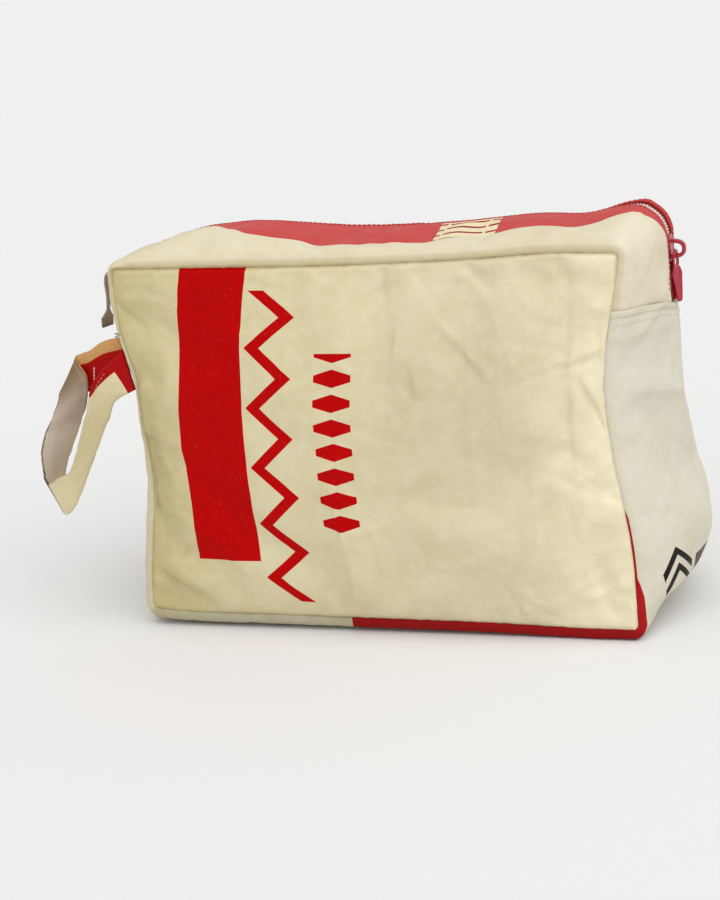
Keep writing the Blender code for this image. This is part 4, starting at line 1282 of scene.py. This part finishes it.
# Rings of a tooth in mm: half width, place across the zip and share of the chain's thickness
TOOTH_RINGS = (
    (0.50, -0.95, 0.72), (0.66, -0.60, 0.92), (0.46, 0.15, 0.86),
    (0.56, 1.2, 1.0), (0.56, 2.5, 1.0), (0.46, 2.8, 0.8),
)
tooth = []
for width, reach, thick in TOOTH_RINGS:
    for corner in range(8):
        c, s = squared(math.radians(22.5 + 45 * corner), 0.6)
        tooth.append((width * c, reach, thick * CHAIN_THICKNESS / 2 / MM * s))
frames = []
for number, (place, direction) in enumerate(zip(*resample(chain_line, TOOTH_PITCH))):
    side = 1 if number % 2 else -1
    frames.append([direction, side * ACROSS, -side * np.cross(direction, ACROSS), place])
teeth = copies("teeth", np.array(tooth) * MM, tube(len(TOOTH_RINGS), 8), np.array(frames))
surface = Surface("moulded_teeth", Roughness=0.35, IOR=1.5)
shade = surface.noise(surface.place(), 900, 2)
surface.into("Base Color", surface.mix(shade, linear(206, 190, 186), linear(238, 230, 224)))
surface.into("Normal", surface.bump(surface.noise(surface.place(), 2500, 2), 0.03 * MM, 0.5))
teeth.data.materials.append(surface.material)
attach(teeth, "bag")
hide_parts("zip_teeth")

# Slider and its pull, with their enamel worn at the edges
surface = Surface(
    "enamelled_metal", Metallic=0.15, Roughness=0.30, Coat_Weight=0.3, Coat_Roughness=0.2
)
place = surface.place()
pointed = surface.node("NewGeometry", "Pointiness")
worn = surface.spread(surface.noise(place, 900, 4, 0.7) * 0.14 + pointed, 0.64, 0.72, 0.0, 0.6)
surface.colour = surface.mix(
    surface.noise(place, 200, 2), linear(158, 16, 38), linear(188, 30, 56)
)
surface.lay(worn, linear(206, 110, 116))
surface.into("Base Color", surface.colour)
surface.into("Roughness", surface.spread(surface.noise(place, 400, 3), 0.3, 0.7, 0.25, 0.45))
surface.into("Normal", surface.bump(surface.noise(place, 1200, 3), 0.03 * MM, 0.4))
METAL = surface.material
PIVOT = np.array(frame["record"]["behaviour"]["joints"][0]["pos_m"])


def lofted(sections):
    """Points and faces of a closed solid through rings of equally many points."""
    sections = np.array(sections)
    return sections.reshape(-1, 3), tube(*sections.shape[:2])


def joined(name, solids, material):
    """One piece made of several closed solids, with softened edges."""
    points = []
    faces = []
    first = 0
    for solid_points, solid_faces in solids:
        points.append(solid_points)
        faces += [[index + first for index in face] for face in solid_faces]
        first += len(solid_points)
    piece = new_piece(name, np.vstack(points), faces, outward=True)
    piece.data.set_sharp_from_angle(angle=math.radians(40))
    piece.data.materials.append(material)
    return piece


def rod_along(line, wide, thick, sides=12):
    """A bar of rounded section along a line in the zip's middle plane; wide is its size in y."""
    line = np.array(line)
    out = unit(np.cross(np.gradient(line, axis=0), ACROSS))
    rings = []
    for angle in 2 * np.pi * (np.arange(sides) + 0.5) / sides:
        c, s = squared(angle, 0.5)
        rings.append(line + (ACROSS * wide * c + out * thick * s) / 2 * MM)
    return lofted(np.stack(rings, 1))


def mirrored(half):
    """An outline made of one half, its ends on the mirror line, and that half turned over."""
    return [*half, *((a, -b) for a, b in half[-2:0:-1])]


slider_row = int(np.argmin(abs(chain_line[:len(chain_line) // 2, 2] - SLIDER_HEIGHT)))
slider_up = unit(chain_line[slider_row + 2] - chain_line[max(slider_row - 1, 0)])
slider_out = np.cross(ACROSS, slider_up)
slider_out *= np.sign(slider_out[0])
slider_middle = PIVOT - slider_out * ((PIVOT - chain_line[slider_row]) @ slider_out)
slider_middle = slider_middle + slider_up * 1.2 * MM
PLATE_MIDDLE = 1.2


def in_slider(up, side, out):
    """A place given in mm in the slider's own directions."""
    return slider_middle + (slider_up * up + ACROSS * side + slider_out * out) * MM


def plate(low, high, outline):
    """A plate of the slider; its edge is drawn in at its two faces."""
    rings = []
    for out, share in ((low, 0.90), (low + 0.25, 1.0), (high - 0.3, 1.0), (high, 0.90)):
        rings.append([
            in_slider(PLATE_MIDDLE + (up - PLATE_MIDDLE) * share, side * share, out)
            for up, side in outline
        ])
    return lofted(rings)


SHIELD = mirrored((
    (7.8, 0.0), (7.7, 2.4), (6.8, 4.1), (4.6, 4.7), (1.0, 4.3), (-2.0, 3.6), (-4.6, 3.3),
    (-5.6, 2.6), (-5.9, 0.0),
))
OUTER_PLATE = (1.35, 2.2)
INNER_PLATE = (-2.5, -1.35)
POST_UP = 4.6
ARCH_MIDDLE, ARCH_HALF = 0.3, 4.0
ARCH_FOOT, ARCH_HEIGHT = 1.8, 6.8
arch_line = []
for angle in np.linspace(0, np.pi, 21):
    up = ARCH_MIDDLE - ARCH_HALF * squared(angle, 0.8)[0]
    out = ARCH_FOOT + ARCH_HEIGHT * max(math.sin(angle), 0.0) ** 0.7
    arch_line.append(in_slider(up, 0.0, out))
slider = joined("slider", [
    plate(*OUTER_PLATE, SHIELD),
    plate(*INNER_PLATE, SHIELD),
    rod_along([in_slider(POST_UP, 0, out) for out in (-2.0, 0, 2.0)], 1.5, 1.4),
    rod_along(arch_line, 3.0, 2.0),
], METAL)
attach(slider, "bag")
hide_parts("zip_slider")

EYE_TURN = math.radians(-9)
PULL_TURN = math.radians(-32)


def pull_ways(down):
    """Directions of the pull's width and thickness, so many mm below its pivot."""
    turn = EYE_TURN + (PULL_TURN - EYE_TURN) * float(smooth_step(down, 7.4, 11.5))
    c, s = math.cos(turn), math.sin(turn)
    return np.array((s, -c, 0.0)), np.array((c, s, 0.0))


def pull_middle(down):
    """Middle of the pull, so many mm below its pivot."""
    forward = 0.25 + 0.02 * max(down, 0.0) + 0.05 * max(down - 10.0, 0.0)
    return PIVOT + np.array((forward, 0.0, -down)) * MM


EYE_MIDDLE, EYE_HALF = 3.8, 4.05
eye = []
for angle in np.linspace(0, 2 * np.pi, 33)[:-1]:
    c, s = squared(angle, 0.7)
    down = EYE_MIDDLE - EYE_HALF * s
    eye.append(pull_middle(down) + pull_ways(down)[0] * (2.75 + 0.06 * down) * c * MM)
thick_way = pull_ways(0.0)[1]
inward = np.cross(unit(np.roll(eye, -1, axis=0) - np.roll(eye, 1, axis=0)), thick_way)
eye_rings = np.stack([
    eye + (inward * 0.95 * math.cos(angle) + thick_way * 0.7 * math.sin(angle)) * MM
    for angle in 2 * np.pi * np.arange(10) / 10
], 1)
eye_ids = np.arange(eye_rings.size // 3).reshape(eye_rings.shape[:2])
eye_faces = grid_faces(np.pad(eye_ids, (0, 1), mode="wrap")).tolist()
# The blade in mm below the pivot: half width and thickness; its section, with a raised rim
BLADE = (
    (7.2, 2.9, 1.1), (7.9, 3.6, 1.5), (9.2, 4.0, 1.7), (11.0, 3.9, 1.8), (14.0, 3.4, 1.8),
    (18.0, 2.8, 1.8), (22.0, 2.2, 1.7), (24.2, 1.8, 1.6), (25.3, 1.3, 1.3), (25.8, 0.7, 0.8),
)
RIM_QUARTER = ((1.0, 0.0), (0.97, 0.6), (0.84, 1.0), (0.70, 1.0), (0.60, 0.62), (0.0, 0.55))
section = mirrored([*RIM_QUARTER, *((-wide, thick) for wide, thick in RIM_QUARTER[-2::-1])])
blade = []
for down, half, thick in BLADE:
    wide_way, thick_way = pull_ways(down)
    blade.append([
        pull_middle(down) + (wide_way * half * across + thick_way * thick / 2 * through) * MM
        for across, through in section
    ])
pull = joined("pull_tab", [(eye_rings.reshape(-1, 3), eye_faces), lofted(blade)], METAL)
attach(pull, "pull")
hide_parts("zip_pull")


# Wrist strap
def through_points(points, steps):
    """A smooth line through the points, with the given number of steps between two."""
    padded = np.vstack([2 * points[0] - points[1], points, 2 * points[-1] - points[-2]])
    t = np.arange(steps)[:, None] / steps
    line = []
    for before, start, end, after in zip(padded, padded[1:], padded[2:], padded[3:]):
        line.append(0.5 * (2 * start + (end - before) * t
                           + (2 * before - 5 * start + 4 * end - after) * t ** 2
                           + (3 * start - before - 3 * end + after) * t ** 3))
    return np.vstack([*line, points[-1:]])


def strap_root(root):
    """The two edge points of a strap end, at the left end of the band."""
    y, upper, lower = root
    z = np.array([upper, lower])
    place = band_surface(np.full(2, -OUT_X), z, np.full(2, -1.0), np.zeros(2), np.full(2, y))
    return place - np.array([STRAP_ROOT_GAP, 0, 0])


STRAP_STEPS = 10
STRAP_COLUMNS = 19
rear_root = strap_root(STRAP_ROOT_REAR)
front_root = strap_root(STRAP_ROOT_FRONT)
upper_line, lower_line = (
    through_points(np.vstack([rear, edge, ahead]), STRAP_STEPS)
    for rear, edge, ahead in zip(rear_root, zip(*STRAP_EDGES), front_root)
)
strap_across = np.linspace(0, 1, STRAP_COLUMNS)
share = strap_across[:, None]
strap_grid = upper_line[:, None] * (1 - share) + lower_line[:, None] * share
strap_run = run_length(strap_grid[:, STRAP_COLUMNS // 2])
strap_width = np.linalg.norm(upper_line - lower_line, axis=1)[:, None]
run, share = np.meshgrid(strap_run, strap_across, indexing="ij")
wave = 0.25 * MM * ripple(run, 90) * (0.3 + 0.7 * abs(2 * share - 1))
strap_grid = strap_grid + grid_normals(strap_grid) * wave[..., None]
facts = {"rest": np.stack([run, share * strap_width, share], -1), "width": strap_width}
face_a = add_sheet("strap", strap_grid, facts, thickness=STRAP_THICKNESS, offset=0)
face_a.modifiers["thickness"].material_offset = 1
face_a.modifiers["thickness"].material_offset_rim = 1

STRAP_FOLD = (0.098, 0.1115)
REAR_RED = 0.048        # the red reaches so far from the rear end
ROOT_RED = 0.1805       # and starts again so far along, inside the line and curve below
TAN_BAND_WIDTH = 0.0064


def strap_material(name, cream_side):
    """One face of the strap: cream with red ends, or grey-brown."""
    surface = Surface(name, Roughness=0.55, Specular_IOR_Level=0.12)
    rest = surface.vector("rest")
    u, v, _ = surface.split(rest)
    width = surface.number("width")
    grain = surface.noise(surface.place(), 160, 4, 0.6)
    if cream_side:
        surface.colour = surface.mix(grain, linear(218, 204, 160), linear(238, 226, 188))
        rear = REAR_RED - u
        beside = u - (v * -0.174 + 0.2002)
        short = 0.1977 - u
        above = v - (short * short * 21.65 + 0.0144)
        root = surface.inside(beside.most(above), u - ROOT_RED)
        surface.lay(surface.inside(rear).most(root), linear(170, 4, 4))
        # a tan band along the upper edge of the rear end
        surface.lay(surface.inside(TAN_BAND_WIDTH - v, rear), linear(206, 156, 96))
    else:
        surface.colour = surface.mix(grain, linear(212, 196, 180), linear(232, 220, 206))
        streaks = surface.noise(rest, 60, 3, 0.6, stretch=(0.25, 3.0, 1.0))
        surface.lay(surface.spread(streaks, 0.4, 0.7, 0.0, 0.35), linear(160, 140, 124))
        # painted shadow of the upper fold, over the first 36 mm from the rear end, fading out by
        # 70 mm
        surface.lay(surface.spread(u, 0.036, 0.070, 1.0, 0.0), linear(134, 108, 82))
    # painted shade along both long edges of the strap
    border_shade = 0.25 if cream_side else 0.45
    shade = surface.spread(v.least(width - v), 0.0, 0.9 * MM, border_shade, 0.0)
    surface.lay(shade, (0.42, 0.38, 0.33), "MULTIPLY")
    if cream_side:
        # painted shade on the edge before the fold, and a dark painted shadow band across the fold
        rim = surface.inside(0.1 * MM - (width - v), STRAP_FOLD[0] - u, blur=0.05 * MM)
        surface.lay(rim, linear(136, 122, 106))
        surface.lay(surface.box(u, v, *STRAP_FOLD, -1.0, 1.0), linear(96, 84, 72))
    weave = u.waves(CLOTH_THREAD) * v.waves(CLOTH_THREAD)
    under = surface.bump(grain, 0.4 * MM, 0.5)
    surface.into("Normal", surface.bump(weave, 0.08 * MM, 0.5, under))
    surface.into("Base Color", surface.colour)
    return surface.material


face_a.data.materials.append(strap_material("strap_outer", False))
face_a.data.materials.append(strap_material("strap_inner", True))
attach(face_a, "bag")
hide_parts("wrist_strap")

# Folded tab of cloth over the zip's left end, standing off the bag
TAB_LINE = np.array((
    (-0.1545, 0, 0.1858), (-0.1575, 0, 0.1850), (-0.1600, 0, 0.1825), (-0.1611, 0, 0.1780),
    (-0.1620, 0, 0.1700), (-0.1634, 0, 0.1630), (-0.1646, 0, 0.1580), (-0.1650, 0, 0.1530),
))
TAB_HALF = np.array((4.6, 4.8, 4.8, 4.4, 3.6, 2.8, 4.6, 4.2)) * MM
TAB_TURN = np.radians((0, 0, 4, 6, -6, -14, 16, 18))
tab_line = through_points(TAB_LINE, 6)
tab_at = np.linspace(0, 1, len(tab_line))
tab_keys = np.linspace(0, 1, len(TAB_LINE))
tab_half = np.interp(tab_at, tab_keys, TAB_HALF)[:, None]
tab_turn = np.interp(tab_at, tab_keys, TAB_TURN)
tab_way = np.stack([np.sin(tab_turn), np.cos(tab_turn), 0 * tab_turn], 1)
tab_share = np.linspace(-1, 1, 11)
tab_grid = tab_line[:, None] + tab_way[:, None] * (tab_half * tab_share)[..., None]
tab_wide = (tab_share + 1) * tab_half
rest = flat_places(run_length(tab_line)[:, None] + 0 * tab_wide, tab_wide)
tab = add_sheet("zip_end_tab", tab_grid, {"rest": rest}, thickness=1.1 * MM, offset=0)
surface = Surface("tab_cloth", Roughness=0.6)
u, v, _ = surface.split(surface.vector("rest"))
grain = surface.noise(surface.place(), 220, 4, 0.6)
# painted shade: the tab is coloured grey-brown as it looks in shade at the bag's far end, darker
# from 30 mm along it
surface.colour = surface.mix(grain, linear(132, 116, 102), linear(172, 156, 140))
surface.lay(surface.spread(u, 0.030, 0.036, 0.0, 0.75), linear(104, 82, 66))
surface.into("Base Color", surface.colour)
weave = u.waves(0.7 * MM) * v.waves(0.7 * MM)
under = surface.bump(grain, 0.4 * MM, 0.6)
surface.into("Normal", surface.bump(weave, 0.08 * MM, 0.7, under))
tab.data.materials.append(surface.material)
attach(tab, "bag")


# Rings of one stitch: place along it, how deep it sinks and how thick it is there
STITCH_RINGS = (
    (-1, 0.9, 0.55), (-0.62, 0.1, 1.0), (0, -0.25, 1.1), (0.62, 0.1, 1.0), (1, 0.9, 0.55),
)


def stitches(name, lines, colour, pitch=2.7 * MM, half=0.95 * MM, radius=0.21 * MM):
    """Rows of short threads that dip into the cloth at both ends; lines are (places, normals)."""
    template = []
    for along, sink, size in STITCH_RINGS:
        for angle in 2 * np.pi * np.arange(6) / 6:
            up = size * math.sin(angle) - sink
            template.append((along * half, radius * size * math.cos(angle), radius * up))
    frames = []
    for places, normals in lines:
        length = run_length(places)
        at = np.arange(pitch / 2, length[-1] - pitch / 3, pitch)
        spots = values_at(at, length, places)
        ups = unit(values_at(at, length, normals))
        ways = np.gradient(spots, axis=0)
        ways = unit(ways - ups * (ways * ups).sum(axis=1, keepdims=True))
        frames.append(np.stack([ways, np.cross(ups, ways), ups, spots], 1))
    faces = tube(len(STITCH_RINGS), 6)
    piece = copies(name, np.array(template), faces, np.concatenate(frames))
    surface = Surface(name + "_thread", Roughness=0.7)
    twist = surface.noise(surface.place(), 1500, 2)
    dark = linear(*(channel * 0.86 for channel in colour))
    surface.into("Base Color", surface.mix(twist, dark, linear(*colour)))
    piece.data.materials.append(surface.material)
    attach(piece, "bag")
    return piece


def grid_line(grid, rows, cols):
    """A row or column of a piece's grid, just above the cloth, with its normals."""
    normals = grid_normals(grid)[rows, cols]
    return grid[rows, cols] + normals * 0.12 * MM, normals


def strap_line(rows, cols, side):
    """A row or column of the strap, just above one of its faces, with its normals."""
    normals = side * grid_normals(strap_grid)[rows, cols]
    return strap_grid[rows, cols] + normals * (STRAP_THICKNESS / 2 + 0.05 * MM), normals


FOLD_STITCH = 2.6 * MM
front_fold = depth_column(-half_opening - FOLD_STITCH)
back_fold = depth_column(half_opening + FOLD_STITCH) - back_opening
zip_stitches = stitches("zip_stitches", [
    grid_line(strip_front_grid, slice(4, -4), front_fold),
    grid_line(strip_back_grid, slice(4, -4), back_fold),
], (168, 62, 64), radius=0.15 * MM)
welt = int(np.argmin(abs(section_length - 4.6 * MM)))
last = all_columns - welt - 1
end_stitches = stitches("end_stitches", [
    grid_line(base_grid, -5, slice(welt, last)),
    grid_line(base_grid, -3, slice(welt, last)),
    grid_line(base_grid, 4, slice(welt + 8, last - 8)),
], (226, 218, 192), pitch=2.3 * MM, half=0.8 * MM, radius=0.13 * MM)
edge_lines = [strap_line(slice(6, -6), column, side) for column in (2, 16) for side in (1, -1)]
strap_stitches = stitches(
    "strap_stitches", edge_lines, (214, 200, 168), pitch=2.3 * MM, half=0.8 * MM, radius=0.11 * MM
)
bar_row = int(np.argmin(abs(strap_run - 0.0196)))
bar_lines = [strap_line(bar_row, slice(8, 16), side) for side in (1, -1)]
bar_stitches = stitches(
    "strap_bar_stitches", bar_lines, (244, 214, 204), pitch=1.9 * MM, radius=0.36 * MM
)

# Floor, lights and camera
FLOOR_REACH = 40.0
floor_corners = [(-1, -1, 0), (1, -1, 0), (1, 1, 0), (-1, 1, 0)]
floor = new_piece("floor", np.array(floor_corners) * FLOOR_REACH, [(0, 1, 2, 3)])
floor.location.z = -0.2 * MM
surface = Surface("pale_floor", Roughness=0.9, Specular_IOR_Level=0.0)
surface.into("Base Color", (0.8, 0.8, 0.8))
floor.data.materials.append(surface.material)

# A soft white room that lights the bag, a little brighter where the camera sees it
world = bpy.data.worlds.new("soft_room")
world.use_nodes = True
nodes = world.node_tree.nodes
link = world.node_tree.links.new
either = nodes.new("ShaderNodeMixShader")
rooms = ((nodes["Background"], 0.68), (nodes.new("ShaderNodeBackground"), 0.863))
for socket, (room, strength) in enumerate(rooms, 1):
    room.inputs["Color"].default_value = (1, 1, 1, 1)
    room.inputs["Strength"].default_value = strength
    link(room.outputs[0], either.inputs[socket])
link(nodes.new("ShaderNodeLightPath").outputs["Is Camera Ray"], either.inputs["Fac"])
link(either.outputs[0], nodes["World Output"].inputs["Surface"])
bpy.context.scene.world = world

sun = bpy.data.lights.new("key", "SUN")
sun.energy = 1.50
sun.angle = math.radians(68)
key = bpy.data.objects.new("key", sun)
key.rotation_euler = Vector((-0.33, 0.40, -0.86)).to_track_quat("-Z", "Y").to_euler()
bpy.context.scene.collection.objects.link(key)

AZIMUTH, ELEVATION, ROLL_ANGLE = (math.radians(angle) for angle in (19, 16.5, 5.25))
DISTANCE = 1.15
TARGET = Vector((-0.0245, 0, 0.0818))
FOCAL_PIXELS = 2118
FRAME_HEIGHT = 900
camera_data = bpy.data.cameras.new("camera")
camera_data.sensor_width = 36
camera_data.lens = FOCAL_PIXELS / FRAME_HEIGHT * camera_data.sensor_width
camera_data.clip_start = 0.05
camera_data.clip_end = 100
camera = bpy.data.objects.new("camera", camera_data)
back_way = Vector((
    math.sin(AZIMUTH) * math.cos(ELEVATION),
    -math.cos(AZIMUTH) * math.cos(ELEVATION),
    math.sin(ELEVATION),
))
right_way = (-back_way).cross(Vector((0, 0, 1))).normalized()
up_way = right_way.cross(-back_way)
rolled_right = math.cos(ROLL_ANGLE) * right_way - math.sin(ROLL_ANGLE) * up_way
rolled_up = math.sin(ROLL_ANGLE) * right_way + math.cos(ROLL_ANGLE) * up_way
axes = Matrix((rolled_right, rolled_up, back_way)).transposed().to_4x4()
camera.matrix_world = Matrix.Translation(TARGET + back_way * DISTANCE) @ axes
bpy.context.scene.collection.objects.link(camera)
bpy.context.scene.camera = camera
bpy.context.scene.view_settings.view_transform = "Standard"
